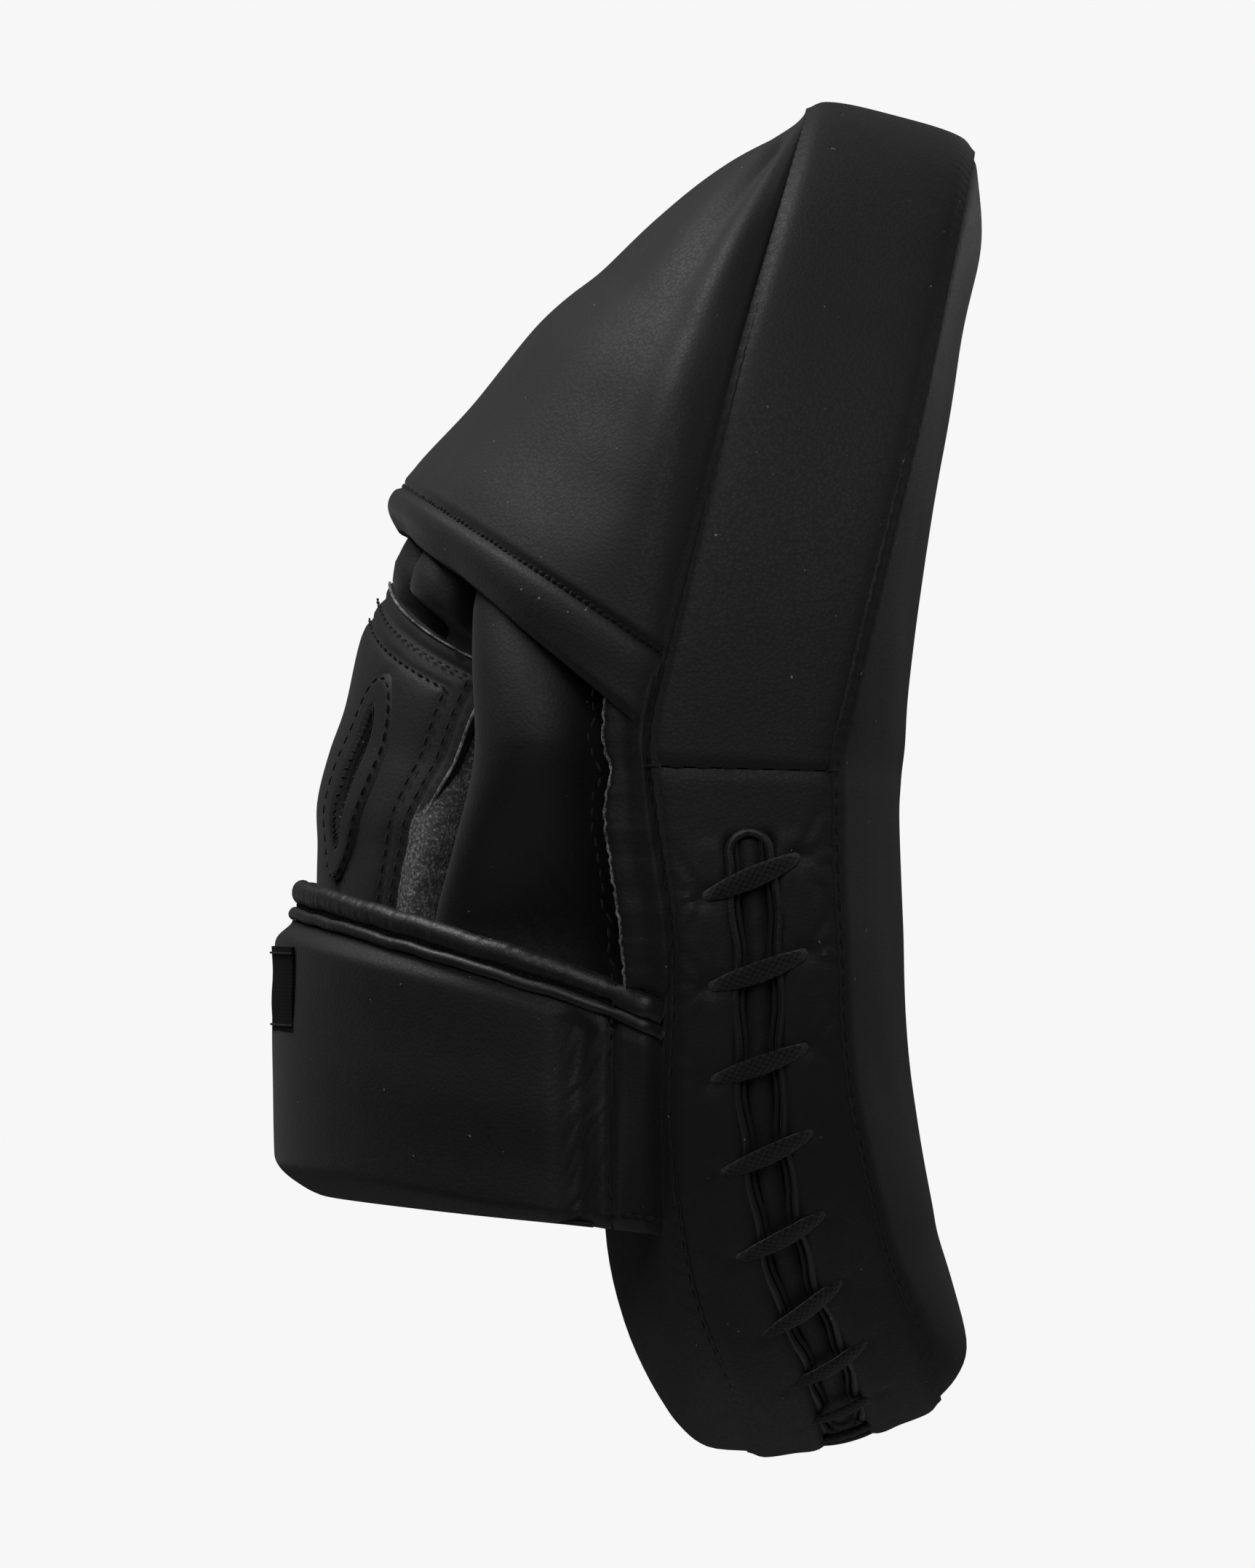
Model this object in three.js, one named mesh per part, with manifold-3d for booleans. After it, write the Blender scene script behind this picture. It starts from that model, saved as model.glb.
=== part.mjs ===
/**
 * Left-hand focus mitt: a curved pad with a laced gusset, a finger hood, a thumb sleeve and an opening strap.
 *
 * Millimetres. +X points out of the strike face, +Y away from the thumb side, +Z towards the fingers.
 * Heights in this file are measured from the pad's lowest edge; the last lines move the origin to the palm.
 */
import * as THREE from 'three';
import { mergeVertices } from 'three/addons/utils/BufferGeometryUtils.js';
import Module from 'manifold-3d';

const wasm = await Module();
wasm.setup();

// Driving dimensions --------------------------------------------------------------------------------------

const palmHeight = 100;         // the origin: the middle of the palm, above the pad's lowest edge
const clearance = 0.3;          // gap kept between pieces that touch on the real mitt
const leather = 1.8;            // thickness of a cover
const liningThickness = 1.0;

const pad = {
  halfWidth: 95,
  roundness: 2.3,               // superellipse exponent of the outline
  faceCrown: 12,
  heelCrown: 13.5,              // the back panel's bulge under the heel of the hand
  palmCrown: 4,
  foamInset: 8.2,               // room for the lace between gusset and foam
  rearFoam: 9,
  frontFoam: 15,
  gussetSeamHeight: 133.5,
};

// Mid-plane of the pad seen from the thumb side, [x, z]: curled at the wrist, bent at the finger joint.
const padSpine = [[42.2, 4.9], [38, 19.5], [31.2, 36], [25.4, 68], [24.4, 100], [22.2, 126], [21.6, 138],
  [25, 153], [51.2, 258.5]];

const lacing = {
  topHeight: 121.5,             // where the slot ends on the thumb side
  slotHalf: 4.2,
  slotFoot: 6,                  // slot left below the last crossing
  crossings: 10,
  firstHeight: 113,
  pitch: 17.9,
  eyelet: 8.6,                  // distance of an eyelet from the slot's middle
  rise: 3,                      // half the climb of one crossing
  radius: 1.35,
  above: 1.7,                   // height of the lace over the gusset
  below: 5.3,                   // depth of the lace under it
  weltInner: 1.9,
  weltProud: 0.5,
  tongueHalf: 5.6,
  tongueDepth: 2.6,
};

const hood = {
  hemHeight: 142.8,
  roundness: 2.4,
  standOff: 0.9,
  topMargin: 2.5,
};
// Crest of the hood from the hem to the fingertips, [x, z].
const hoodCrest = [[-43.3, 178.5], [-43.8, 185.5], [-39.5, 191.4], [-29, 202.7], [-14.7, 219.9], [6.7, 238.8],
  [21, 250.3], [30, 256.4]];

const sleeve = {
  halfWidth: 11.6,
  halfDepth: 8.6,
  spacing: 25.2,
  length: 46,
  wall: 1.4,
  lean: 35,                     // degrees
  mouthX: -34.2,
  mouthHeight: 168,
  outerSink: 3.4,               // how much lower the first and last fingers lie
};

const palmCushion = { along: 98, reach: 27, spread: 38, thickness: 9, standOff: 1.4, thinnest: 1.5 };

const handBack = {
  halfWidth: 51.5,
  cornerDrop: 17,
  cuffCurl: 18.5,               // how far the side edges lie towards the palm, at the cuff
  knuckleCurl: 25,
  curl: 2.2,
  foam: 4.2,
  foamOverhang: 1.03,
  liningGap: 0.9,
};
// Middle line of the hand-back panel, [x, z], from the cuff up to the knuckles.
const handBackCrest = [[-61.2, 92], [-60.8, 112], [-59.9, 123], [-57.4, 136.6], [-54.6, 146], [-50.8, 160],
  [-46, 169.8]];

// Oval patches round the slots that air the back of the hand; spans are parts of the panel's half width.
const vent = {
  centre: 0.55,
  halfSpan: 0.145,
  lowHeight: 113,
  highHeight: 150,
  slotSpan: 0.03,
  slotLow: 119,
  slotHigh: 144,
  lift: 0.6,
  thickness: 1.1,
};

const thumb = {
  lowHeight: 94,
  topHeight: 171,
  halfWidth: 13.2,
  halfDepth: 15.5,
  wall: 1.6,
  x: -16.6,
  y: -72,
  mouthStart: 98,               // heights between which the tube opens towards the cuff
  mouthEnd: 116,
  mouthX: -18.2,
  mouthWider: 2,
  mouthThinner: 5.5,
  mouthInwards: 14.5,
  tipStart: 138,                // height above which it leans under the hood
  tipInwards: 8.5,
  tipThinner: 2,
  dome: 0.18,                   // part of its length that is the rounded tip
};

const flange = { low: 92, high: 137.5, edgeX: -2.2, thickness: 1.4, standOff: 1.2 };
const farWall = { low: 106, high: 141, thickness: 1.6, drop: 4 };

const cuff = {
  seamX: 7,
  depth: 75.6,                  // from the pad's back seam to the strap's crown
  halfWidth: 86,
  seamBottom: 43.4,
  seamTop: 80,
  bottomRise: 7,
  topRise: 24,
  padding: 2.5,
  foamProud: 3.2,               // how far the padding stands over the leather's top edge
  rollLower: 1.15,
  rollLowerInset: 0.75,
  rollUpper: 2,
  rollUpperInset: 3.6,
  flangeStart: 2.1,
  nearHinge: 10.5,              // degrees round the cuff from the near seam to the strap's hinge
  farHinge: 136.5,
  endAngle: 166,
  tabEnd: 139.5,
  tabSeam: 176.8,
  loopEnd: 164,
  tape: 0.9,
};

// Blank woven label on the strap's crown: degrees round the cuff, and heights.
const label = { start: 70, end: 84, low: 82.5, high: 99, thickness: 0.7 };

// Materials -----------------------------------------------------------------------------------------------

const finish = (color, roughness) => new THREE.MeshStandardMaterial({ color, roughness, metalness: 0 });
const blackLeather = () => finish(0x1b1b1c, 0.55);
const wornLeather = () => finish(0x222223, 0.45);
const liningCloth = () => finish(0x101011, 0.85);
const foamBlock = () => finish(0x3c3d3f, 0.95);
const cotton = () => finish(0x161617, 0.9);

// Solids from surfaces ------------------------------------------------------------------------------------

const mix = THREE.MathUtils.lerp;
const smooth = THREE.MathUtils.smoothstep;
const degrees = THREE.MathUtils.degToRad;
const signedPower = (value, power) => Math.sign(value) * Math.abs(value) ** power;

/** Closes a triangle list into one body: shared corners merged, flat triangles dropped, faces outwards. */
function closeBody(positions, index) {
  let geometry = new THREE.BufferGeometry();
  geometry.setAttribute('position', new THREE.Float32BufferAttribute(positions, 3));
  geometry.setIndex(index);
  geometry = mergeVertices(geometry, 1e-3);
  const corners = geometry.index.array;
  const kept = [];
  for (let i = 0; i < corners.length; i += 3) {
    const [a, b, c] = [corners[i], corners[i + 1], corners[i + 2]];
    if (a !== b && b !== c && c !== a) {
      kept.push(a, b, c);
    }
  }
  geometry.setIndex(signedVolume(geometry, kept) < 0 ? kept.reverse() : kept);
  geometry.computeVertexNormals();
  return geometry;
}

function signedVolume(geometry, index) {
  const corner = [new THREE.Vector3(), new THREE.Vector3(), new THREE.Vector3()];
  let sum = 0;
  for (let i = 0; i < index.length; i += 3) {
    corner.forEach((point, k) => point.fromBufferAttribute(geometry.attributes.position, index[i + k]));
    sum += corner[0].dot(corner[1].cross(corner[2]));
  }
  return sum / 6;
}

/** Closed solid between two surfaces over the unit square. A ring joins its first column to its last. */
function between(outer, inner, stepsU, stepsV, ring = false) {
  const columns = ring ? stepsU : stepsU + 1;
  const rows = stepsV + 1;
  const positions = [];
  const index = [];
  for (const surface of [outer, inner]) {
    for (let row = 0; row < rows; row++) {
      for (let column = 0; column < columns; column++) {
        positions.push(...surface(column / stepsU, row / stepsV).toArray());
      }
    }
  }
  const at = (side, column, row) => (side * rows + row) * columns + (column % columns);
  const quad = (a, b, c, d) => index.push(a, b, c, a, c, d);
  for (let row = 0; row < stepsV; row++) {
    for (let column = 0; column < stepsU; column++) {
      quad(at(0, column, row), at(0, column + 1, row), at(0, column + 1, row + 1), at(0, column, row + 1));
      quad(at(1, column, row), at(1, column, row + 1), at(1, column + 1, row + 1), at(1, column + 1, row));
    }
  }
  for (let column = 0; column < stepsU; column++) {
    quad(at(0, column + 1, 0), at(0, column, 0), at(1, column, 0), at(1, column + 1, 0));
    quad(at(0, column, stepsV), at(0, column + 1, stepsV), at(1, column + 1, stepsV), at(1, column, stepsV));
  }
  if (!ring) {
    for (let row = 0; row < stepsV; row++) {
      quad(at(0, 0, row), at(0, 0, row + 1), at(1, 0, row + 1), at(1, 0, row));
      quad(at(0, stepsU, row + 1), at(0, stepsU, row), at(1, stepsU, row), at(1, stepsU, row + 1));
    }
  }
  return closeBody(positions, index);
}

/** Round cord along a list of points. */
function cordAlong(points, radius, steps, sides = 8) {
  const section = new THREE.Shape();
  section.absarc(0, 0, radius, 0, 2 * Math.PI);
  const geometry = new THREE.ExtrudeGeometry(section, {
    steps, bevelEnabled: false, curveSegments: sides / 2, extrudePath: new THREE.CatmullRomCurve3(points),
  });
  geometry.deleteAttribute('normal');
  geometry.deleteAttribute('uv');
  const merged = mergeVertices(geometry, 1e-3);
  return closeBody([...merged.attributes.position.array], [...merged.index.array]);
}

function toManifold(geometry) {
  return new wasm.Manifold(new wasm.Mesh({
    numProp: 3,
    vertProperties: new Float32Array(geometry.attributes.position.array),
    triVerts: new Uint32Array(geometry.index.array),
  }));
}

/** The first geometry with each of the cutters taken out of it. */
function cut(geometry, ...cutters) {
  const solid = cutters.reduce((body, cutter) => body.subtract(toManifold(cutter)), toManifold(geometry));
  const mesh = solid.getMesh();
  return closeBody([...mesh.vertProperties], [...mesh.triVerts]);
}

const group = new THREE.Group();

function add(name, geometry, material) {
  const mesh = new THREE.Mesh(geometry, material);
  mesh.name = name;
  group.add(mesh);
}

// The pad's own coordinates: along the spine, across in Y, and through the thickness ----------------------

/** Smooth curve in the plane y = 0 through points given as [x, z]. */
function sideCurve(points) {
  return new THREE.CatmullRomCurve3(points.map(([x, z]) => new THREE.Vector3(x, 0, z)), false, 'centripetal');
}

const spine = sideCurve(padSpine);
spine.arcLengthDivisions = 800;
const padLength = spine.getLength();

/** Distance along the spine at which it reaches a height. */
function alongAtHeight(height) {
  let low = 0;
  let high = 1;
  while (high - low > 1e-6) {
    const middle = (low + high) / 2;
    if (spine.getPointAt(middle).z < height) {
      low = middle;
    } else {
      high = middle;
    }
  }
  return low * padLength;
}

/** Point at a distance along the spine, a distance across it, and a distance towards the strike face. */
function padPoint(along, across, through) {
  const fraction = THREE.MathUtils.clamp(along / padLength, 0, 1);
  const tangent = spine.getTangentAt(fraction);
  const point = spine.getPointAt(fraction).addScaledVector(tangent, along - fraction * padLength);
  point.addScaledVector(new THREE.Vector3(tangent.z, 0, -tangent.x), through);
  point.y = across;
  return point;
}

/** Half the gusset's width: widest at the heel, narrower at the wrist and at the fingertips. */
function halfThickness(along) {
  const heel = mix(19.6, 16.7, smooth(along, 35, 95));
  const knuckles = mix(heel, 18.6, smooth(along, 100, 140));
  return mix(knuckles, 17, smooth(along, 200, padLength));
}

/** Half the pad's width at a distance along it. */
function halfWidthAt(along) {
  const offset = Math.min(Math.abs(2 * along / padLength - 1), 1);
  return pad.halfWidth * (1 - offset ** pad.roundness) ** (1 / pad.roundness);
}

// The outline as even steps of its own length, from the bottom middle round by the thumb side.
const outlineSteps = 720;
const outline = [];
for (let step = 0; step <= outlineSteps; step++) {
  const angle = 2 * Math.PI * step / outlineSteps;
  const along = padLength / 2 * (1 - signedPower(Math.cos(angle), 2 / pad.roundness));
  const across = -pad.halfWidth * signedPower(Math.sin(angle), 2 / pad.roundness);
  const last = outline.at(-1);
  const length = last ? last.length + Math.hypot(along - last.along, across - last.across) : 0;
  outline.push({ along, across, length });
}
const outlineLength = outline.at(-1).length;

/** Place on the outline at a length round it, moved out along its normal. */
function outlineAt(length, out = 0) {
  const wrapped = ((length % outlineLength) + outlineLength) % outlineLength;
  let step = outline.findIndex((point) => point.length > wrapped);
  step = step < 1 ? outlineSteps : step;
  const [a, b] = [outline[step - 1], outline[step]];
  const part = (wrapped - a.length) / (b.length - a.length);
  const run = Math.hypot(b.along - a.along, b.across - a.across);
  const normal = { along: (b.across - a.across) / run, across: -(b.along - a.along) / run };
  return {
    along: mix(a.along, b.along, part) + normal.along * out,
    across: mix(a.across, b.across, part) + normal.across * out,
  };
}

/** Length round the outline, on the thumb side, where the pad reaches a height. */
function outlineLengthAtHeight(height) {
  const along = alongAtHeight(height);
  return outline.find((point) => point.along > along).length;
}

/** Point on the gusset: length round the outline, distance through the pad, distance outwards. */
function edgePoint(length, through, out) {
  const place = outlineAt(length, out);
  return padPoint(place.along, place.across, through);
}

/** Surface across the whole pad, from its middle (v = 0) to its outline (v = 1). */
function discSurface(inset, level) {
  return (u, v) => {
    const rim = outlineAt(u * outlineLength, -inset);
    const along = mix(padLength / 2, rim.along, v);
    return padPoint(along, rim.across * v, level(along, v));
  };
}

/** Height of the strike face over its seam: full towards the heel, falling away towards the fingers. */
function faceRise(along, v) {
  return pad.faceCrown * (1 - v ** mix(5, 1.5, smooth(along, 60, 200)));
}

/** Height of the back panel over its seam: a bulge under the heel of the hand, nearly flat at the fingers. */
function backRise(along, v) {
  const crown = mix(pad.heelCrown, pad.palmCrown, smooth(along, 60, 115));
  return crown * (1 - v ** mix(6, 3, smooth(along, 60, 130)));
}

// Pad -----------------------------------------------------------------------------------------------------

const around = 44;
const rings = 5;

function addPadCovers() {
  const face = (depth) => discSurface(0, (along, v) => halfThickness(along) + faceRise(along, v) - depth);
  const back = (depth) => discSurface(0, (along, v) => -halfThickness(along) - backRise(along, v) + depth);
  add('strike_face_cover', between(face(0), face(leather), around, rings, true), blackLeather());
  add('back_panel', between(back(0), back(leather), around, rings, true), blackLeather());
}

function addPadFoams() {
  const under = leather + 1.2;
  const rearTop = (along) => -halfThickness(along) + pad.rearFoam;
  const frontBottom = (along) => halfThickness(along) - pad.frontFoam;
  const layer = (low, high) => between(discSurface(pad.foamInset, high), discSurface(pad.foamInset, low),
    28, 3, true);
  const faceInside = (along, v) => halfThickness(along) + faceRise(along, v) - under;
  const backInside = (along, v) => -halfThickness(along) - backRise(along, v) + under + 1.5;
  add('front_impact_foam', layer(frontBottom, faceInside), foamBlock());
  add('middle_foam', layer((a) => rearTop(a) + clearance, (a) => frontBottom(a) - clearance), foamBlock());
  add('rear_foam', layer(backInside, rearTop), foamBlock());
}

const seamLength = outlineLengthAtHeight(pad.gussetSeamHeight);

/** Surface of the gusset between two lengths round the outline. */
function gussetSurface(start, end, out) {
  return (u, v) => {
    const length = mix(start, end, u);
    const half = halfThickness(outlineAt(length).along) - leather - 4 * clearance;
    return edgePoint(length, mix(-half, half, v), out);
  };
}

// Slot and lace -------------------------------------------------------------------------------------------

const slotTop = outlineLengthAtHeight(lacing.topHeight);
const firstCrossing = outlineLengthAtHeight(lacing.firstHeight);
const slotEnd = firstCrossing - (lacing.crossings - 1) * lacing.pitch - lacing.slotFoot;

/** The lace's route: out of a rear eyelet, over the slot, in at the front eyelet, back below the tongue. */
function lacePoints() {
  const below = -lacing.below;
  const above = lacing.above;
  const [overEdge, underEdge] = [lacing.eyelet - 1.8, lacing.eyelet - 2.4];
  const points = [];
  for (let crossing = 0; crossing < lacing.crossings; crossing++) {
    const middle = firstCrossing - crossing * lacing.pitch;
    const [low, high] = [middle - lacing.rise, middle + lacing.rise];
    const nextLow = low - lacing.pitch;
    points.push(edgePoint(low, -underEdge, below));
    points.push(edgePoint(low, -lacing.eyelet, -2));
    points.push(edgePoint(low + 0.6, -overEdge, above));
    points.push(edgePoint(middle, 0, above + 0.5));
    points.push(edgePoint(high - 0.6, overEdge, above));
    points.push(edgePoint(high, lacing.eyelet, -2));
    points.push(edgePoint(high, underEdge, below));
    if (crossing < lacing.crossings - 1) {
      points.push(edgePoint(mix(high, nextLow, 0.5), 0, below - 0.4));
    }
  }
  return points;
}

/** A strip following the slot: through the pad from one distance to another, at one depth to another. */
function slotStrip(start, end, near, far, outFrom, outTo, steps) {
  const surface = (out) => (u, v) => edgePoint(mix(start, end, u), mix(near, far, v), out);
  return between(surface(outTo), surface(outFrom), steps, 1);
}

function addGussets() {
  const points = lacePoints();
  const laceSteps = lacing.crossings * 12;
  const lace = cordAlong(points, lacing.radius, laceSteps, 6);
  const fatLace = cordAlong(points, lacing.radius + 0.55, laceSteps, 6);
  const upperEnd = outlineLength - seamLength - clearance;
  const upper = (out) => gussetSurface(seamLength + clearance, upperEnd, out);
  add('upper_gusset', between(upper(0), upper(-leather), 34, 1), blackLeather());

  const lower = (out) => gussetSurface(-seamLength, seamLength, out);
  const slot = slotStrip(slotEnd, slotTop, -lacing.slotHalf, lacing.slotHalf, -6, 4, 40);
  add('lower_gusset', cut(between(lower(0), lower(-leather), 56, 1), slot, fatLace), blackLeather());

  const welt = (side) => slotStrip(slotEnd + clearance, slotTop - clearance, side * lacing.weltInner,
    side * (lacing.slotHalf - clearance), -leather, lacing.weltProud, 40);
  add('slot_welt_front', welt(1), wornLeather());
  add('slot_welt_rear', welt(-1), wornLeather());
  const tongue = slotStrip(slotEnd - 3, slotTop + 3, -lacing.tongueHalf, lacing.tongueHalf,
    -lacing.tongueDepth - liningThickness, -lacing.tongueDepth, 40);
  add('slot_tongue', tongue, liningCloth());
  add('pad_lace', lace, cotton());
}

// Finger hood ---------------------------------------------------------------------------------------------

const crest = sideCurve(hoodCrest);
const hoodStart = alongAtHeight(hood.hemHeight - 4);

/** Hood surface: arches from seam to seam (u), standing on the pad from the hem to the fingertips (v). */
function hoodSurface(inset) {
  return (u, v) => {
    const along = mix(hoodStart, padLength - hood.topMargin, v);
    const base = padPoint(along, 0, -halfThickness(along) - hood.standOff);
    const top = crest.getPointAt(v);
    const reach = top.clone().sub(base);
    const height = reach.length();
    const angle = Math.PI * u;
    const arch = Math.max(Math.sin(angle), 0) ** (2 / hood.roundness);
    const sideways = signedPower(Math.cos(angle), 2 / hood.roundness);
    const point = base.addScaledVector(reach.divideScalar(height), arch * Math.max(height - inset, 0.4));
    point.y = -(halfWidthAt(along) - inset) * sideways;
    return point;
  };
}

function addHood() {
  const lining = leather + 3 * clearance;
  add('finger_hood', between(hoodSurface(0), hoodSurface(leather), 20, 10), blackLeather());
  const cutShort = (inset) => (u, v) => hoodSurface(inset)(u, mix(0.1, 0.9, v));
  const inner = between(cutShort(lining), cutShort(lining + liningThickness), 20, 8);
  add('finger_hood_lining', inner, liningCloth());
}

/** One finger sleeve: a flattened tube, open at both ends, leaning with the hood. */
function fingerSleeve(across, sink) {
  const lean = degrees(sleeve.lean);
  const axis = new THREE.Vector3(Math.sin(lean), 0, Math.cos(lean));
  const outwards = new THREE.Vector3(-Math.cos(lean), 0, Math.sin(lean));
  const mouth = new THREE.Vector3(sleeve.mouthX, across, sleeve.mouthHeight).addScaledVector(outwards, -sink);
  const wall = (inset) => (u, v) => {
    const angle = 2 * Math.PI * u;
    const point = mouth.clone().addScaledVector(axis, v * sleeve.length);
    point.addScaledVector(outwards, Math.cos(angle) * (sleeve.halfDepth - inset));
    point.y += Math.sin(angle) * (sleeve.halfWidth - inset);
    return point;
  };
  return between(wall(0), wall(sleeve.wall), 14, 1, true);
}

function addFingerSleeves() {
  const fingers = ['index', 'middle', 'ring', 'little'];
  fingers.forEach((finger, place) => {
    const step = place - 1.5;
    const sink = Math.abs(step) > 1 ? sleeve.outerSink : 0;
    add(`${finger}_finger_sleeve`, fingerSleeve(step * sleeve.spacing, sink), wornLeather());
  });
}

// Palm and back of the hand -------------------------------------------------------------------------------

function addPalmCushion() {
  const { along: middle, reach, spread, thickness, standOff, thinnest } = palmCushion;
  const surface = (lift) => (u, v) => {
    const angle = 2 * Math.PI * u;
    const along = middle + reach * v * Math.cos(angle);
    const across = spread * v * Math.sin(angle);
    const radius = Math.hypot((along - padLength / 2) / (padLength / 2), across / pad.halfWidth);
    const rise = halfThickness(along) + backRise(along, Math.min(radius, 1)) + standOff;
    return padPoint(along, across, -rise - lift * (1 - v ** 3) - (lift > 0 ? thinnest : 0));
  };
  add('palm_cushion', between(surface(thickness), surface(0), 20, 3, true), blackLeather());
}

const handBackLine = sideCurve(handBackCrest);

/** Hand-back surface: u from the thumb edge (-1) to the far edge (+1), v from the cuff to the knuckles. */
function handBackPoint(u, v, inset) {
  const side = Math.abs(u);
  const middle = handBackLine.getPointAt(v);
  const drop = mix(handBack.cuffCurl, handBack.knuckleCurl, smooth(v, 0.1, 0.6));
  const height = middle.z - handBack.cornerDrop * side ** 1.2 * smooth(v, 0.2, 1);
  const x = middle.x + drop * side ** handBack.curl;
  return new THREE.Vector3(x + inset, u * (handBack.halfWidth - inset * side ** 6), height);
}

function handBackLayer(from, to, lowFraction, highFraction, edge, steps = 14) {
  const surface = (inset) => (u, v) =>
    handBackPoint((2 * u - 1) * edge, mix(lowFraction, highFraction, v), inset);
  return between(surface(from), surface(to), steps, 6);
}

/** Oval on the hand-back panel, on the side given by its sign, between two depths. */
function ventOval(side, span, low, high, from, to) {
  const surface = (inset) => (u, v) => {
    const angle = 2 * Math.PI * u;
    const place = side * (vent.centre + span * v * Math.cos(angle));
    const height = mix(low, high, 0.5 + 0.5 * v * Math.sin(angle));
    return handBackPoint(place, handBackFraction(height, place), inset);
  };
  return between(surface(from), surface(to), 12, 1, true);
}

/** Fraction up the hand-back panel at which it reaches a height. */
function handBackFraction(height, place) {
  let low = 0;
  let high = 1;
  while (high - low > 1e-5) {
    const middle = (low + high) / 2;
    if (handBackPoint(place, middle, 0).z < height) {
      low = middle;
    } else {
      high = middle;
    }
  }
  return low;
}

function addHandBack() {
  const foamTop = leather + clearance;
  const foamBottom = foamTop + handBack.foam;
  const liningTop = foamBottom + handBack.liningGap;
  const foam = handBackLayer(foamTop, foamBottom, 0.02, 0.97, handBack.foamOverhang);
  const lining = handBackLayer(liningTop, liningTop + liningThickness, 0, 0.98, 0.99);
  const slots = [-1, 1].map((side) => ventOval(side, vent.slotSpan, vent.slotLow, vent.slotHigh, -5, 12));
  add('hand_back_panel', cut(handBackLayer(0, leather, 0, 1, 1), ...slots), blackLeather());
  add('hand_back_foam', cut(foam, ...slots), foamBlock());
  add('hand_back_lining', cut(lining, ...slots), liningCloth());
  [['near', -1], ['far', 1]].forEach(([name, side], place) => {
    const patch = ventOval(side, vent.halfSpan, vent.lowHeight, vent.highHeight, -vent.lift - vent.thickness,
      -vent.lift);
    add(`vent_patch_${name}`, cut(patch, slots[place]), wornLeather());
  });
}

// Thumb sleeve --------------------------------------------------------------------------------------------

/** Thumb sleeve surface: u round it, v from its mouth in the cuff to its closed tip under the hood. */
function thumbSurface(inset) {
  return (u, v) => {
    const height = mix(thumb.lowHeight, thumb.topHeight - inset, v);
    const domePart = Math.min(Math.max((v - 1 + thumb.dome) / thumb.dome, 0), 1);
    const tip = Math.sqrt(1 - domePart ** 2);
    const mouth = 1 - smooth(height, thumb.mouthStart, thumb.mouthEnd);
    const under = smooth(height, thumb.tipStart, thumb.topHeight);
    const angle = 2 * Math.PI * u;
    const wide = thumb.halfWidth + thumb.mouthWider * mouth - inset;
    const deep = thumb.halfDepth - thumb.mouthThinner * mouth - thumb.tipThinner * under - inset;
    return new THREE.Vector3(
      mix(thumb.x, thumb.mouthX, mouth) + Math.sin(angle) * wide * tip,
      thumb.y + thumb.mouthInwards * mouth + thumb.tipInwards * under + Math.cos(angle) * deep * tip,
      height);
  };
}

function addThumbSleeve() {
  const inside = thumb.wall + clearance;
  const lining = between(thumbSurface(inside), thumbSurface(inside + liningThickness), 16, 10, true);
  add('thumb_sleeve', between(thumbSurface(0), thumbSurface(thumb.wall), 16, 10, true), blackLeather());
  add('thumb_sleeve_lining', lining, liningCloth());
}

/** Flange between the pad's back seam and the thumb sleeve, ending in a raw edge. */
function addNearFlange() {
  const surface = (inset) => (u, v) => {
    const along = alongAtHeight(mix(flange.low, flange.high, v));
    const base = padPoint(along, -halfWidthAt(along) + inset, -halfThickness(along) - flange.standOff);
    return new THREE.Vector3(mix(base.x, flange.edgeX, u), base.y + 3 * u * u, base.z);
  };
  add('near_flange', between(surface(0), surface(flange.thickness), 3, 8), wornLeather());
}

/** Side wall of the hand space on the far side, from the pad's back seam to the hand-back panel. */
function addFarSidePanel() {
  const surface = (inset) => (u, v) => {
    const height = mix(farWall.low, farWall.high, v);
    const along = alongAtHeight(height);
    const base = padPoint(along, halfWidthAt(along), -halfThickness(along) - flange.standOff);
    const edge = handBackPoint(1.05, handBackFraction(height - farWall.drop, 1), 0);
    const angle = 0.5 * Math.PI * u;
    const x = mix(base.x, edge.x, 1 - Math.cos(angle)) + inset * Math.sin(angle);
    const y = mix(edge.y + 2.5, base.y, Math.cos(angle) ** 0.8) - inset * Math.cos(angle);
    return new THREE.Vector3(x, y, height);
  };
  add('far_side_panel', between(surface(0), surface(farWall.thickness), 8, 3), blackLeather());
}

// Wrist cuff ----------------------------------------------------------------------------------------------

/** Point on the cuff: degrees round it from the near seam, part of its height plus a lift, depth inwards. */
function cuffPoint(angle, fraction, lift, inset) {
  const turn = degrees(angle);
  const out = Math.sin(turn);
  const bottom = cuff.seamBottom + cuff.bottomRise * out ** 0.6;
  const height = mix(bottom, cuff.seamTop + cuff.topRise * out ** 0.75,
    fraction) + lift;
  const seamWidth = halfWidthAt(alongAtHeight(Math.min(height, 100)));
  const width = mix(seamWidth, cuff.halfWidth, smooth(out, 0, 0.18));
  const normal = new THREE.Vector2(-out * width, -Math.cos(turn) * cuff.depth).normalize();
  return new THREE.Vector3(
    cuff.seamX - cuff.depth * out - normal.x * inset,
    -width * Math.cos(turn) - normal.y * inset,
    height);
}

/** A layer of the cuff: from one angle to another, between two depths, with its edges lifted. */
function cuffLayer(start, end, from, to, liftBottom = 0, liftTop = 0) {
  const steps = Math.max(2, Math.round(Math.abs(end - start) / 7));
  const surface = (inset) => (u, v) => cuffPoint(mix(start, end, u), v, mix(liftBottom, liftTop, v), inset);
  return between(surface(from), surface(to), steps, 3);
}

/** A rolled edge along the cuff's top. */
function cuffRoll(start, end, lift, inset, radius) {
  const steps = Math.max(4, Math.round((end - start) / 6));
  const points = [];
  for (let step = 0; step <= steps; step++) {
    points.push(cuffPoint(mix(start, end, step / steps), 1, lift, inset));
  }
  return cordAlong(points, radius, steps, 8);
}

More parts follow.
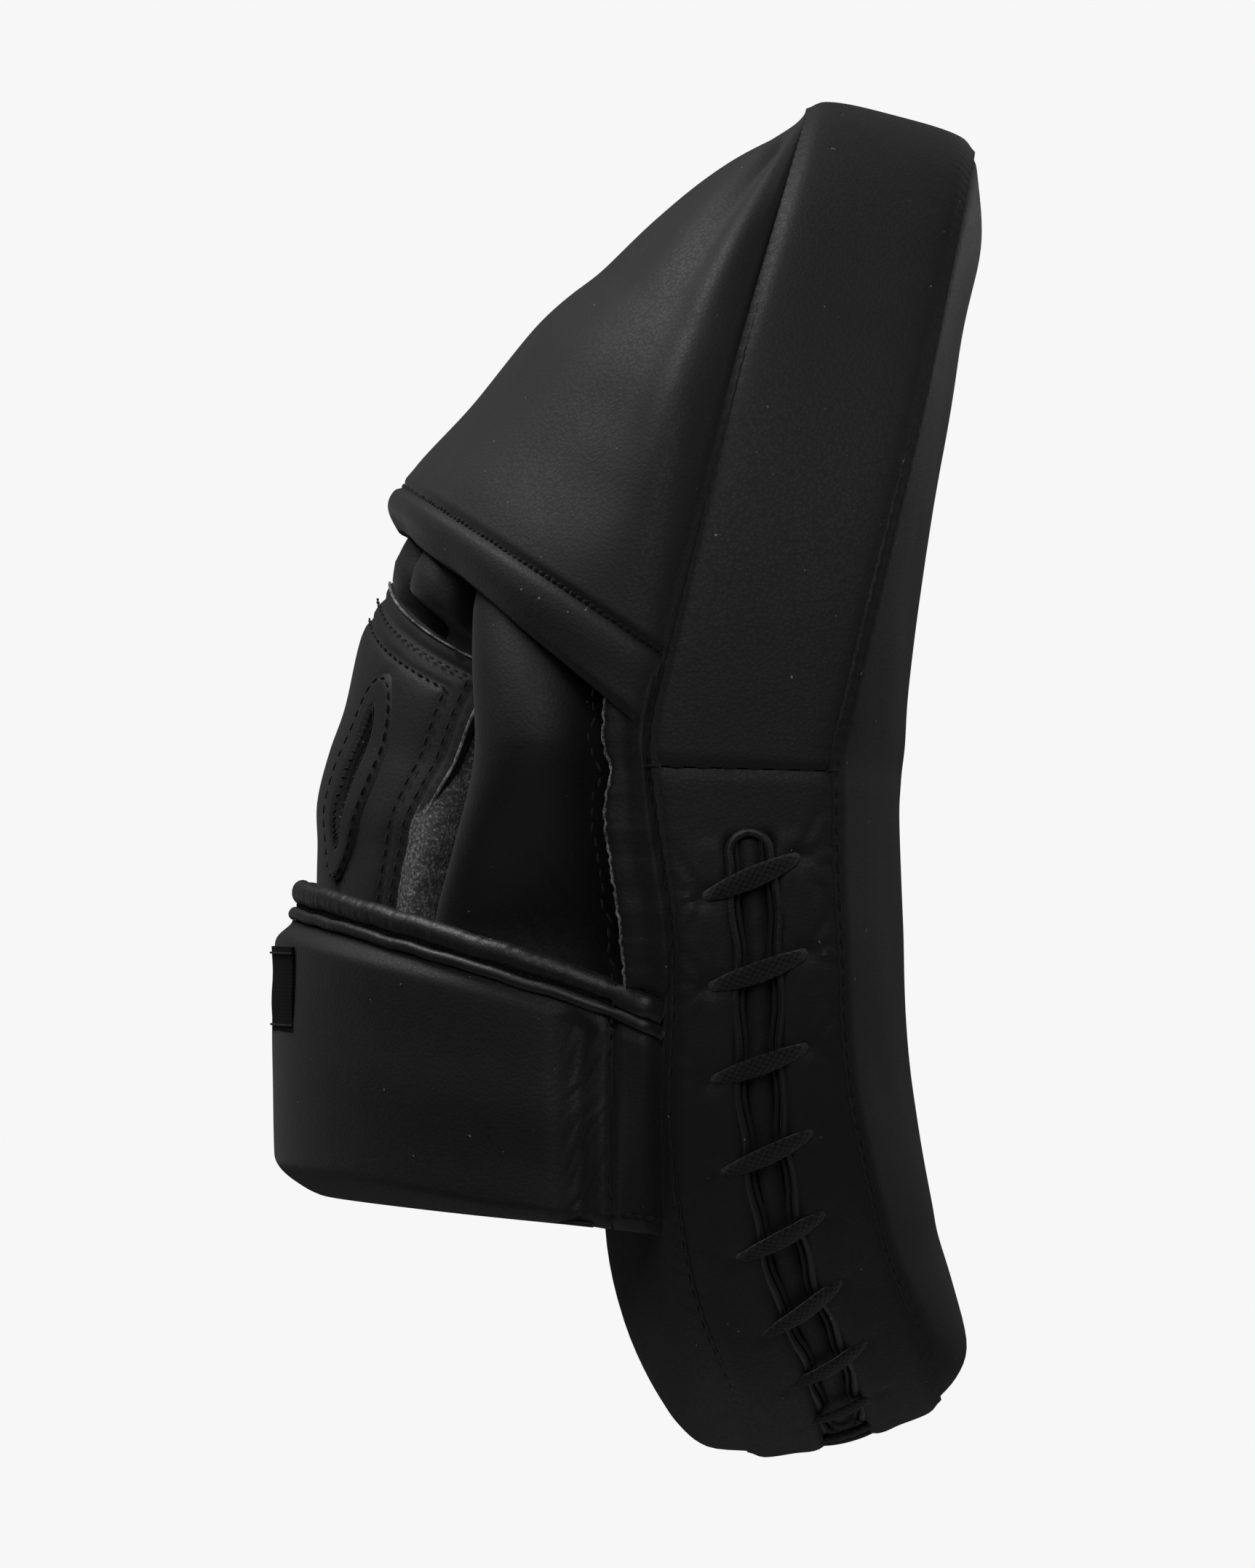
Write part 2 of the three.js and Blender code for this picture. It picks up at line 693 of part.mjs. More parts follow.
// Depths of the strap's layers, from its outer face inwards.
const foamStart = leather + clearance;
const foamEnd = foamStart + cuff.padding;
const liningStart = foamEnd + clearance;
const tabStart = leather + 2 * (clearance + cuff.tape) + 2 * clearance;

function addCuffOnPad() {
  const tab = cuffLayer(cuff.tabEnd, cuff.tabSeam, tabStart + clearance, tabStart + 2.3, 3, -3);
  add('cuff_near_flange', cuffLayer(cuff.flangeStart, cuff.nearHinge - 0.3, 0, 2.2), blackLeather());
  add('cuff_far_tab', tab, blackLeather());
  const loop = cuffLayer(cuff.tabEnd + 1.5, cuff.loopEnd, tabStart - cuff.tape, tabStart, 6, -6);
  add('loop_tape', loop, liningCloth());
}

function addStrap() {
  const [start, end] = [cuff.nearHinge + 0.3, cuff.farHinge - 0.3];
  const lowerRoll = cuffRoll(start, end, cuff.rollLower + clearance, cuff.rollLowerInset,
    cuff.rollLower - clearance / 2);
  const upperRoll = cuffRoll(start, end, cuff.foamProud + clearance + cuff.rollUpper, cuff.rollUpperInset,
    cuff.rollUpper);
  const labelFace = (inset) => (u, v) => {
    const point = cuffPoint(mix(label.start, label.end, u), 0, 0, inset);
    point.z = mix(label.low, label.high, v);
    return point;
  };
  const lining = cuffLayer(start, end, liningStart, liningStart + liningThickness, 0, cuff.foamProud);
  add('strap_outer', cuffLayer(start, end, 0, leather), blackLeather());
  add('strap_foam', cuffLayer(start, end, foamStart, foamEnd, 1.5, cuff.foamProud), foamBlock());
  add('strap_lining', lining, liningCloth());
  add('strap_binding_lower', lowerRoll, wornLeather());
  add('strap_binding_upper', upperRoll, wornLeather());
  add('woven_label', between(labelFace(-clearance - label.thickness), labelFace(-clearance), 3, 1), cotton());
}

function addStrapEnd() {
  const start = cuff.farHinge + 0.3;
  const hook = cuffLayer(start + 3, cuff.endAngle - 1.5, foamStart, foamStart + cuff.tape, 5, -5);
  add('strap_end', cuffLayer(start, cuff.endAngle, 0, leather), blackLeather());
  add('hook_tape', hook, liningCloth());
}

addPadCovers();
addPadFoams();
addGussets();
addHood();
addFingerSleeves();
addPalmCushion();
addHandBack();
addThumbSleeve();
addNearFlange();
addFarSidePanel();
addCuffOnPad();
addStrap();
addStrapEnd();

group.position.z = -palmHeight;

export default group;
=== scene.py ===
"""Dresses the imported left-hand focus mitt in leather, thread, lacing, foam and lining.

Sizes are in millimetres and heights start at the pad's lowest edge. `place` turns them into metres in the
part's frame, where +X points out of the strike face, +Y away from the thumb and +Z to the fingertips.
"""

from __future__ import annotations

import logging
import math
import sys
from dataclasses import dataclass
from enum import Enum
from typing import Callable, Sequence

import bmesh
import bpy
import numpy as np
from mathutils import Matrix, Vector

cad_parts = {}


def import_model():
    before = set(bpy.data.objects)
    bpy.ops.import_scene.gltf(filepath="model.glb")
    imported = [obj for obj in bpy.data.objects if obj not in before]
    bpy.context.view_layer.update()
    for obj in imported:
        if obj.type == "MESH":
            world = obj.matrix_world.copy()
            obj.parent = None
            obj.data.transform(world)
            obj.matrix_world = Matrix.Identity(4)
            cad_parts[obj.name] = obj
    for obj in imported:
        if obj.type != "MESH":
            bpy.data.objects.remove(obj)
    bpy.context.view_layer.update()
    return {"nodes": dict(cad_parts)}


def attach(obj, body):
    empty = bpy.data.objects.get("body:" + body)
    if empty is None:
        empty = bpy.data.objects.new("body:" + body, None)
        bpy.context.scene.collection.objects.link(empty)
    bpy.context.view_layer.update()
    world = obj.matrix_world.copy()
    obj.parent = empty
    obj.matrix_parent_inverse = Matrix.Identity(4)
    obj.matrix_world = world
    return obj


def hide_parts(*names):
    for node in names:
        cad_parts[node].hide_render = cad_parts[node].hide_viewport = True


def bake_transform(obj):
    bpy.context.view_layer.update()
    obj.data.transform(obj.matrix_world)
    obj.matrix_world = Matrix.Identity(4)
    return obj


LOG = logging.getLogger("focus_mitt")
MM = 0.001
PALM_HEIGHT = 100.0
LEATHER = 1.8

Grid = np.ndarray


class Body(str, Enum):
    """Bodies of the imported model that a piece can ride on."""

    ROOT = "root"
    STRAP = "strap"
    TIP = "strap_tip"


class Slot(str, Enum):
    """Names of material slots."""

    LEATHER = "black_leather"
    ROLLED = "rolled_leather"
    LINING = "lining_cloth"
    FOAM = "grey_foam"
    LACE = "cotton_lace"
    TAPE = "tape_nylon"
    LABEL = "label_weave"


# Shape helpers ------------------------------------------------------------------------------------


def place(points: Grid) -> Grid:
    """Millimetres above the pad's lowest edge, as metres in the part's frame."""
    return (np.asarray(points, dtype=float) - np.array([0.0, 0.0, PALM_HEIGHT])) * MM


def mix(a: Grid | float, b: Grid | float, part: Grid | float) -> Grid | float:
    """Straight blend from a to b."""
    return a + (b - a) * part


def ramp(value: Grid | float, low: float, high: float) -> Grid | float:
    """Smooth step from 0 at low to 1 at high."""
    part = np.clip((np.asarray(value, dtype=float) - low) / (high - low), 0.0, 1.0)
    return part * part * (3.0 - 2.0 * part)


def bell(value: Grid | float, centre: Grid | float, width: float) -> Grid | float:
    """Bell curve of height 1."""
    return np.exp(-(((np.asarray(value, dtype=float) - centre) / width) ** 2))


def signed_power(value: Grid, power: float) -> Grid:
    """Power that keeps the sign."""
    return np.sign(value) * np.abs(value) ** power


def ripple(value: Grid, seed: int, waves: Sequence[float]) -> Grid:
    """Smooth random curve between about -1 and 1.

    Args:
        value: Distance along the curve, in millimetres.
        seed: Fixes the phases.
        waves: Wavelengths that are summed, in millimetres.

    Returns:
        One value for each distance.
    """
    phases = np.random.default_rng(seed).uniform(0.0, 2.0 * math.pi, len(waves))
    total = sum(np.sin(2.0 * math.pi * value / wave + phase) for wave, phase in zip(waves, phases))
    return total / len(waves)


def soft_noise(points: Grid, seed: int, size: float) -> Grid:
    """Smooth random field over points in space, between about -1 and 1."""
    random = np.random.default_rng(seed)
    total = np.zeros(points.shape[:-1])
    for _ in range(7):
        direction = random.normal(size=3)
        direction *= random.uniform(0.7, 1.5) / (np.linalg.norm(direction) * size)
        total += np.sin(2.0 * math.pi * (points @ direction) + random.uniform(0.0, 2.0 * math.pi))
    return total / 3.5


def through_knots(knots: Sequence[Sequence[float]], steps: int = 60) -> Grid:
    """Centripetal Catmull-Rom curve through a few points.

    Args:
        knots: The points, each with two or three coordinates.
        steps: Samples between two neighbouring points.

    Returns:
        The samples, one row each.
    """
    inner = np.array(knots, dtype=float)
    points = np.vstack([2.0 * inner[0] - inner[1], inner, 2.0 * inner[-1] - inner[-2]])
    samples = []
    for p0, p1, p2, p3 in zip(points, points[1:], points[2:], points[3:]):
        spans = [math.sqrt(np.linalg.norm(b - a)) for a, b in ((p0, p1), (p1, p2), (p2, p3))]
        leave = ((p1 - p0) / spans[0] - (p2 - p0) / (spans[0] + spans[1]) + (p2 - p1) / spans[1]) * spans[1]
        arrive = ((p2 - p1) / spans[1] - (p3 - p1) / (spans[1] + spans[2]) + (p3 - p2) / spans[2]) * spans[1]
        t = np.linspace(0.0, 1.0, steps, endpoint=False)[:, None]
        samples.append(
            (2 * t**3 - 3 * t**2 + 1) * p1 + (t**3 - 2 * t**2 + t) * leave
            + (3 * t**2 - 2 * t**3) * p2 + (t**3 - t**2) * arrive)
    return np.vstack([*samples, inner[-1:]])


class Line:
    """A smooth curve through a few chosen points, read by the fraction of its length."""

    def __init__(self, knots: Sequence[Sequence[float]]) -> None:
        """Samples the curve.

        Args:
            knots: Points that the curve passes through.
        """
        self.samples = through_knots(knots)
        steps = np.linalg.norm(np.diff(self.samples, axis=0), axis=1)
        self.reach = np.concatenate([[0.0], np.cumsum(steps)])
        self.length = float(self.reach[-1])

    def at(self, fraction: Grid | float) -> Grid:
        """Points at fractions of the length."""
        wanted = np.asarray(fraction, dtype=float) * self.length
        return np.stack([np.interp(wanted, self.reach, axis) for axis in self.samples.T], axis=-1)

    def fraction_at_height(self, height: Grid | float) -> Grid:
        """Fraction of the length at which the last coordinate first reaches a height."""
        heights = np.maximum.accumulate(self.samples[:, -1])
        return np.interp(height, heights, self.reach / self.length)


def mesh_grid(first: Grid, second: Grid) -> tuple[Grid, Grid]:
    """Rows over the second values, columns over the first."""
    return np.meshgrid(first, second)


def grid_normals(grid: Grid, wrap: bool) -> Grid:
    """Unit normals of a grid of points.

    Args:
        grid: Rows by columns of points.
        wrap: True where the last column joins the first.

    Returns:
        One normal for each point.
    """
    across = (np.roll(grid, -1, axis=1) - np.roll(grid, 1, axis=1)) if wrap else np.gradient(grid, axis=1)
    normal = np.cross(across, np.gradient(grid, axis=0))
    length = np.linalg.norm(normal, axis=-1, keepdims=True)
    normal = normal / np.maximum(length, 1e-12)
    if np.max(np.ptp(grid[0], axis=0)) < 1e-9:
        mean = normal[1].mean(axis=0)
        normal[0] = mean / np.linalg.norm(mean)
    return normal


def new_object(name: str, mesh: bpy.types.Mesh) -> bpy.types.Object:
    """Links a mesh into the scene as an object."""
    piece = bpy.data.objects.new(name, mesh)
    bpy.context.scene.collection.objects.link(piece)
    return piece


def build(name: str, points: Grid, faces: Sequence[Sequence[int]],
          run: Grid | None = None) -> bpy.types.Object:
    """Makes one closed, smooth mesh object from millimetre points.

    Args:
        name: Name of the piece.
        points: Points in millimetres.
        faces: Corners of each face.
        run: Optional distances over the surface, one 3-vector for each point.

    Returns:
        The object, with its faces turned outwards.
    """
    mesh = bpy.data.meshes.new(name)
    mesh.from_pydata(place(points).tolist(), [], [list(face) for face in faces])
    if run is not None:
        layer = mesh.attributes.new("run", "FLOAT_VECTOR", "POINT")
        layer.data.foreach_set("vector", np.asarray(run, dtype=np.float32).ravel())
    body = bmesh.new()
    body.from_mesh(mesh)
    bmesh.ops.remove_doubles(body, verts=body.verts, dist=1e-7)
    bmesh.ops.dissolve_degenerate(body, edges=body.edges, dist=1e-8)
    if body.calc_volume(signed=True) < 0.0:
        bmesh.ops.reverse_faces(body, faces=body.faces)
    body.to_mesh(mesh)
    body.free()
    mesh.polygons.foreach_set("use_smooth", [True] * len(mesh.polygons))
    mesh.set_sharp_from_angle(angle=math.radians(48.0))
    mesh.update()
    return new_object(name, mesh)


def quads(first: Grid, second: Grid) -> Grid:
    """Quads between two equal rows of indices."""
    return np.stack([first[:-1], first[1:], second[1:], second[:-1]], axis=-1)


def panel(name: str, outer: Grid, inner: Grid, wrap: bool = False) -> bpy.types.Object:
    """Closed body between two grids that share their columns.

    Args:
        name: Name of the piece.
        outer: Rows by columns of points on the shown side.
        inner: Rows by columns of points on the hidden side.
        wrap: True where the last column joins the first. Otherwise both grids need as many rows.

    Returns:
        The object.
    """
    columns = outer.shape[1]
    sides = []
    start = 0
    for grid in (outer, inner):
        index = np.arange(grid.shape[0] * columns).reshape(grid.shape[0], columns) + start
        start += index.size
        sides.append(np.hstack([index, index[:, :1]]) if wrap else index)
    faces = []
    for index, turn in zip(sides, (1, -1)):
        for low, high in zip(index, index[1:]):
            faces.extend(quads(low, high)[:, ::turn].tolist())
    for row, turn in ((0, -1), (-1, 1)):
        if np.max(np.ptp(outer[row], axis=0)) > 1e-9:
            faces.extend(quads(sides[0][row], sides[1][row])[:, ::turn].tolist())
    if not wrap:
        for column, turn in ((0, 1), (-1, -1)):
            faces.extend(quads(sides[0][:, column], sides[1][:, column])[:, ::turn].tolist())
    points = np.vstack([outer.reshape(-1, 3), inner.reshape(-1, 3)])
    return build(name, points, faces)


def skin(name: str, grid: Grid, thickness: float, wrap: bool = False, sign: float = 1.0) -> bpy.types.Object:
    """Closed sheet of even thickness behind a grid of points.

    Args:
        name: Name of the piece.
        grid: Rows by columns of points on the shown side.
        thickness: Millimetres of material behind it.
        wrap: True where the last column joins the first.
        sign: 1 where the grid's normals point out of the shown side, otherwise -1.

    Returns:
        The object.
    """
    return panel(name, grid, grid - grid_normals(grid, wrap) * thickness * sign, wrap)


def sweep(name: str, path: Grid, facing: Grid, half_width: Grid | float, half_depth: Grid | float,
          sides: int = 14) -> bpy.types.Object:
    """Flat or round cord along a path.

    Args:
        name: Name of the piece.
        path: Points of the middle line.
        facing: Direction that the flat side shows at each point.
        half_width: Half the width, for each point or for all.
        half_depth: Half the thickness, for each point or for all.
        sides: Points round the section.

    Returns:
        The object, with the distances along and round it in its run attribute.
    """
    count = len(path)
    tangent = np.gradient(path, axis=0)
    tangent /= np.linalg.norm(tangent, axis=1, keepdims=True)
    wide = np.cross(tangent, facing)
    wide /= np.linalg.norm(wide, axis=1, keepdims=True)
    deep = np.cross(wide, tangent)
    angle = np.linspace(0.0, 2.0 * math.pi, sides, endpoint=False)
    width = np.broadcast_to(half_width, (count,))[:, None, None]
    depth = np.broadcast_to(half_depth, (count,))[:, None, None]
    ring = np.cos(angle)[None, :, None] * wide[:, None] * width
    ring = ring + np.sin(angle)[None, :, None] * deep[:, None] * depth
    grid = path[:, None] + ring
    index = np.arange(count * sides).reshape(count, sides)
    closed = np.hstack([index, index[:, :1]])
    faces = [face for low, high in zip(closed, closed[1:]) for face in quads(low, high).tolist()]
    faces.append(index[0][::-1].tolist())
    faces.append(index[-1].tolist())
    reach = np.concatenate([[0.0], np.cumsum(np.linalg.norm(np.diff(path, axis=0), axis=1))])
    run = np.zeros((count, sides, 3))
    run[..., 0] = reach[:, None]
    run[..., 1] = (np.cos(angle)[None] * width[..., 0])
    return build(name, grid.reshape(-1, 3), faces, run.reshape(-1, 3))


# Shader helpers -----------------------------------------------------------------------------------


class Value:
    """A shader socket that can be used in Python sums."""

    def __init__(self, shader: "Shader", socket: bpy.types.NodeSocket) -> None:
        """Keeps the socket and the shader it belongs to."""
        self.shader = shader
        self.socket = socket

    def _math(self, operation: str, *terms: "Value | float") -> "Value":
        """Adds one Math node over the terms."""
        inputs = dict(enumerate(terms))
        return self.shader.node("ShaderNodeMath", {"operation": operation}, inputs)

    def __add__(self, other: "Value | float") -> "Value":
        """Sum."""
        return self._math("ADD", self, other)

    def __sub__(self, other: "Value | float") -> "Value":
        """Difference."""
        return self._math("SUBTRACT", self, other)

    def __rsub__(self, other: "Value | float") -> "Value":
        """Difference, the other way round."""
        return self._math("SUBTRACT", other, self)

    def __mul__(self, other: "Value | float") -> "Value":
        """Product."""
        return self._math("MULTIPLY", self, other)

    def power(self, exponent: float) -> "Value":
        """The value to a power."""
        return self._math("POWER", self, exponent)

    __radd__ = __add__
    __rmul__ = __mul__


class Shader:
    """One material under construction."""

    def __init__(self, name: str) -> None:
        """Starts a material with a Principled shader.

        Args:
            name: Name of the material.
        """
        self.material = bpy.data.materials.new(name)
        self.material.use_nodes = True
        self.tree = self.material.node_tree
        self.surface = self.tree.nodes["Principled BSDF"]
        self.place = self.node("ShaderNodeTexCoord", {}, {}, "Object")

    def node(self, kind: str, settings: dict, inputs: dict, output: str | int = 0) -> Value:
        """Adds a node.

        Args:
            kind: Type of the node.
            settings: Properties of the node, set first.
            inputs: Values or links of its sockets, by name or number.
            output: Socket to hand back.

        Returns:
            The chosen output as a value.
        """
        added = self.tree.nodes.new(kind)
        for key, setting in settings.items():
            setattr(added, key, setting)
        for key, content in inputs.items():
            self.feed(added.inputs[key], content)
        return Value(self, added.outputs[output])

    def feed(self, socket: bpy.types.NodeSocket, content: "Value | float | Sequence[float]") -> None:
        """Links a value to a socket or sets the socket."""
        if isinstance(content, Value):
            self.tree.links.new(content.socket, socket)
        else:
            socket.default_value = content

    def noise(self, size: float, detail: float = 3.0, rough: float = 0.55, seed: float = 0.0) -> Value:
        """Noise with features of a size in millimetres."""
        where = self.node("ShaderNodeVectorMath", {"operation": "ADD"}, {
            0: self.place, 1: (seed, seed, seed)})
        return self.node("ShaderNodeTexNoise", {}, {
            "Vector": where, "Scale": 1.0 / (size * MM), "Detail": detail, "Roughness": rough})

    def cells(self, size: float, feature: str = "F1") -> Value:
        """Cell pattern with cells of a size in millimetres."""
        return self.node("ShaderNodeTexVoronoi", {"feature": feature}, {
            "Vector": self.place, "Scale": 1.0 / (size * MM)}, "Distance")

    def step(self, value: Value, low: float, high: float) -> Value:
        """Smooth step of a value from 0 at low to 1 at high."""
        return self.node("ShaderNodeMapRange", {"interpolation_type": "SMOOTHSTEP"}, {
            "Value": value, "From Min": low, "From Max": high})

    def blend(self, part: Value, dark: "Value | Sequence[float]", light: "Value | Sequence[float]") -> Value:
        """Mix of two colours by a part from 0 to 1."""
        added = self.tree.nodes.new("ShaderNodeMix")
        added.data_type = "RGBA"
        for index, content in ((0, part), (6, dark), (7, light)):
            self.feed(added.inputs[index], content)
        return Value(self, added.outputs[2])

    def bump(self, height: Value, depth: float, strength: float = 1.0, below: Value | None = None) -> Value:
        """Bump from a height field of a depth in millimetres."""
        inputs = {"Strength": strength, "Distance": depth * MM, "Height": height}
        if below is not None:
            inputs["Normal"] = below
        return self.node("ShaderNodeBump", {}, inputs)

    def finish(self, **sockets: "Value | float | Sequence[float]") -> bpy.types.Material:
        """Sets the Principled sockets, named with _ for each space, and hands back the material."""
        for key, content in sockets.items():
            self.feed(self.surface.inputs[key.replace("_", " ")], content)
        return self.material


def grey(level: float) -> tuple[float, float, float, float]:
    """Neutral colour."""
    return (level, level, level * 1.03, 1.0)


@dataclass(frozen=True)
class LeatherFinish:
    """Microfibre leather with pressed grain and a soft sheen."""

    name: str
    dark: float
    light: float
    roughness: float = 0.56
    grain: float = 0.75
    grain_depth: float = 0.09
    specular: float = 0.26
    sheen: float = 0.05
    lint: float = 0.08

    def make(self) -> bpy.types.Material:
        """Builds the material."""
        shader = Shader(self.name)
        pebble = shader.cells(self.grain)
        fine = shader.noise(self.grain * 0.45, 4.0, 0.6)
        cloud = shader.noise(28.0, 3.0)
        rub = shader.noise(6.0, 5.0, 0.65, 3.0)
        height = (1.0 - pebble) * 0.55 + fine * 0.45
        tone = shader.step(cloud * 0.6 + rub * 0.4, 0.3, 0.75)
        speck = shader.step(shader.noise(1.3, 1.0, 0.4, 7.0), 0.795, 0.83)
        colour = shader.blend(tone, grey(self.dark), grey(self.light))
        colour = shader.blend(speck * self.lint * 8.0, colour, grey(0.25))
        worn = shader.step(height, 0.35, 0.75)
        return shader.finish(
            Base_Color=colour,
            Roughness=self.roughness + 0.10 * (1.0 - worn) + 0.08 * (rub - 0.5),
            Normal=shader.bump(height, self.grain_depth, 0.85),
            Specular_IOR_Level=self.specular, Sheen_Weight=self.sheen, Sheen_Roughness=0.45)


@dataclass(frozen=True)
class ClothFinish:
    """Woven lining, tape or label."""

    name: str
    dark: float
    light: float
    thread: float = 0.5
    depth: float = 0.12
    specular: float = 0.15
    sheen: float = 0.15

    def make(self) -> bpy.types.Material:
        """Builds the material."""
        shader = Shader(self.name)
        weave = [shader.node("ShaderNodeTexWave", {"wave_type": "BANDS", "bands_direction": axis}, {
            "Vector": shader.place, "Scale": 0.314 / (self.thread * MM) / 2.0, "Distortion": 0.6,
            "Detail": 1.0, "Detail Scale": 2.0}, "Fac") for axis in ("Y", "Z")]
        fuzz = shader.noise(0.35, 4.0, 0.7)
        height = weave[0] * 0.4 + weave[1] * 0.4 + fuzz * 0.3
        return shader.finish(
            Base_Color=shader.blend(shader.step(height, 0.2, 0.9), grey(self.dark), grey(self.light)),
            Roughness=0.95 - 0.1 * fuzz, Normal=shader.bump(height, self.depth, 0.8),
            Specular_IOR_Level=self.specular, Sheen_Weight=self.sheen, Sheen_Roughness=0.5)


@dataclass(frozen=True)
class FoamFinish:
    """Cut open-cell foam: grey grains with dark pores."""

    name: str
    dark: float
    light: float
    pore: float = 0.8

    def make(self) -> bpy.types.Material:
        """Builds the material."""
        shader = Shader(self.name)
        pores = shader.cells(self.pore)
        crumbs = shader.noise(self.pore * 0.6, 5.0, 0.75)
        grain = shader.step(crumbs - pores * 0.35, 0.18, 0.62)
        return shader.finish(
            Base_Color=shader.blend(grain, grey(self.dark), grey(self.light)), Roughness=0.95 - 0.1 * grain,
            Normal=shader.bump(grain, 0.45, 1.0), Specular_IOR_Level=0.1)


@dataclass(frozen=True)
class ThreadFinish:
    """Twisted sewing thread or a fibrous cut edge."""

    name: str
    dark: float
    light: float
    fibre: float = 0.25
    specular: float = 0.4
    roughness: float = 0.5

    def make(self) -> bpy.types.Material:
        """Builds the material."""
        shader = Shader(self.name)
        fibre = shader.noise(self.fibre, 3.0, 0.7)
        patch = shader.noise(self.fibre * 9.0, 3.0, 0.6, 5.0)
        part = shader.step(fibre * 0.5 + patch * 0.5, 0.38, 0.66)
        return shader.finish(
            Base_Color=shader.blend(part, grey(self.dark), grey(self.light)),
            Roughness=self.roughness + 0.2 * (1.0 - fibre), Normal=shader.bump(fibre, 0.1, 0.8),
            Specular_IOR_Level=self.specular, Sheen_Weight=0.1)


@dataclass(frozen=True)
class BraidFinish:
    """Flat braided cotton: slanting strands that cross, with loose fuzz."""

    name: str
    dark: float
    light: float
    strand: float = 0.9

    def make(self) -> bpy.types.Material:
        """Builds the material, which reads the distances in the piece's run attribute."""
        shader = Shader(self.name)
        run = shader.node("ShaderNodeAttribute", {"attribute_name": "run"}, {}, "Vector")
        strands = []
        for slant in (1.0, -1.0):
            turned = shader.node("ShaderNodeMapping", {}, {
                "Vector": run, "Rotation": (0.0, 0.0, slant * 0.9)})
            strands.append(shader.node("ShaderNodeTexWave", {"wave_type": "BANDS", "bands_direction": "X"}, {
                "Vector": turned, "Scale": 0.314 / self.strand, "Distortion": 0.8, "Detail": 2.0,
                "Detail Scale": 3.0}, "Fac"))
        fuzz = shader.noise(0.3, 5.0, 0.8)
        height = strands[0] * 0.2 + strands[1] * 0.2 + fuzz * 0.9
        return shader.finish(
            Base_Color=shader.blend(shader.step(height, 0.4, 0.95), grey(self.dark), grey(self.light)),
            Roughness=0.98 - 0.08 * fuzz, Normal=shader.bump(height, 0.3, 1.0), Specular_IOR_Level=0.12,
            Sheen_Weight=0.25, Sheen_Roughness=0.4)


@dataclass(frozen=True)
class Finishes:
    """Every finish on the mitt."""

    pad: bpy.types.Material
    hood: bpy.types.Material
    strap: bpy.types.Material
    rolled: bpy.types.Material
    lining: bpy.types.Material
    foam: bpy.types.Material
    gritty: bpy.types.Material
    lace: bpy.types.Material
    thread: bpy.types.Material
    raw_edge: bpy.types.Material
    tape: bpy.types.Material
    label: bpy.types.Material

    @classmethod
    def make(cls) -> "Finishes":
        """Builds every material once."""
        return cls(
            pad=LeatherFinish("pad_leather", 0.0040, 0.0065).make(),
            hood=LeatherFinish("hood_leather", 0.0045, 0.0075, sheen=0.08).make(),
            strap=LeatherFinish("strap_leather", 0.0045, 0.0070, sheen=0.06).make(),
            rolled=LeatherFinish("rolled_leather", 0.005, 0.009, roughness=0.42, grain=0.6, grain_depth=0.08,
                                 specular=0.38).make(),
            lining=ClothFinish("lining_cloth", 0.003, 0.008).make(),
            foam=FoamFinish("grey_foam", 0.05, 0.42).make(),
            gritty=FoamFinish("strap_core", 0.003, 0.03, 0.6).make(),
            lace=BraidFinish("cotton_lace", 0.003, 0.02).make(),
            thread=ThreadFinish("black_thread", 0.0015, 0.005, specular=0.12, roughness=0.6).make(),
            raw_edge=ThreadFinish("raw_edge", 0.02, 0.26, 0.5, 0.15, 0.8).make(),
            tape=ClothFinish("hook_loop_tape", 0.003, 0.01, 0.7, 0.3).make(),
            label=ClothFinish("label_weave", 0.0012, 0.004, 0.35, specular=0.06, sheen=0.01).make(),
        )


def dress(piece: bpy.types.Object, finish: bpy.types.Material, body: Body = Body.ROOT,
          replaces: Sequence[str] = ()) -> bpy.types.Object:
    """Gives a piece its material and the body it rides on, and hides the CAD nodes it replaces."""
    piece.data.materials.clear()
    piece.data.materials.append(finish)
    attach(piece, body.value)
    return register(piece, replaces)


def register(piece: bpy.types.Object, replaces: Sequence[str] = ()) -> bpy.types.Object:
    """Renames a piece that stands for CAD nodes, hides those nodes and logs its face count."""
    if replaces:
        piece.name = piece.name.split(".")[0] + "_sewn"
        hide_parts(*replaces)
    LOG.info("%s: %d faces", piece.name, len(piece.data.polygons))
    return piece


# Stitches -----------------------------------------------------------------------------------------


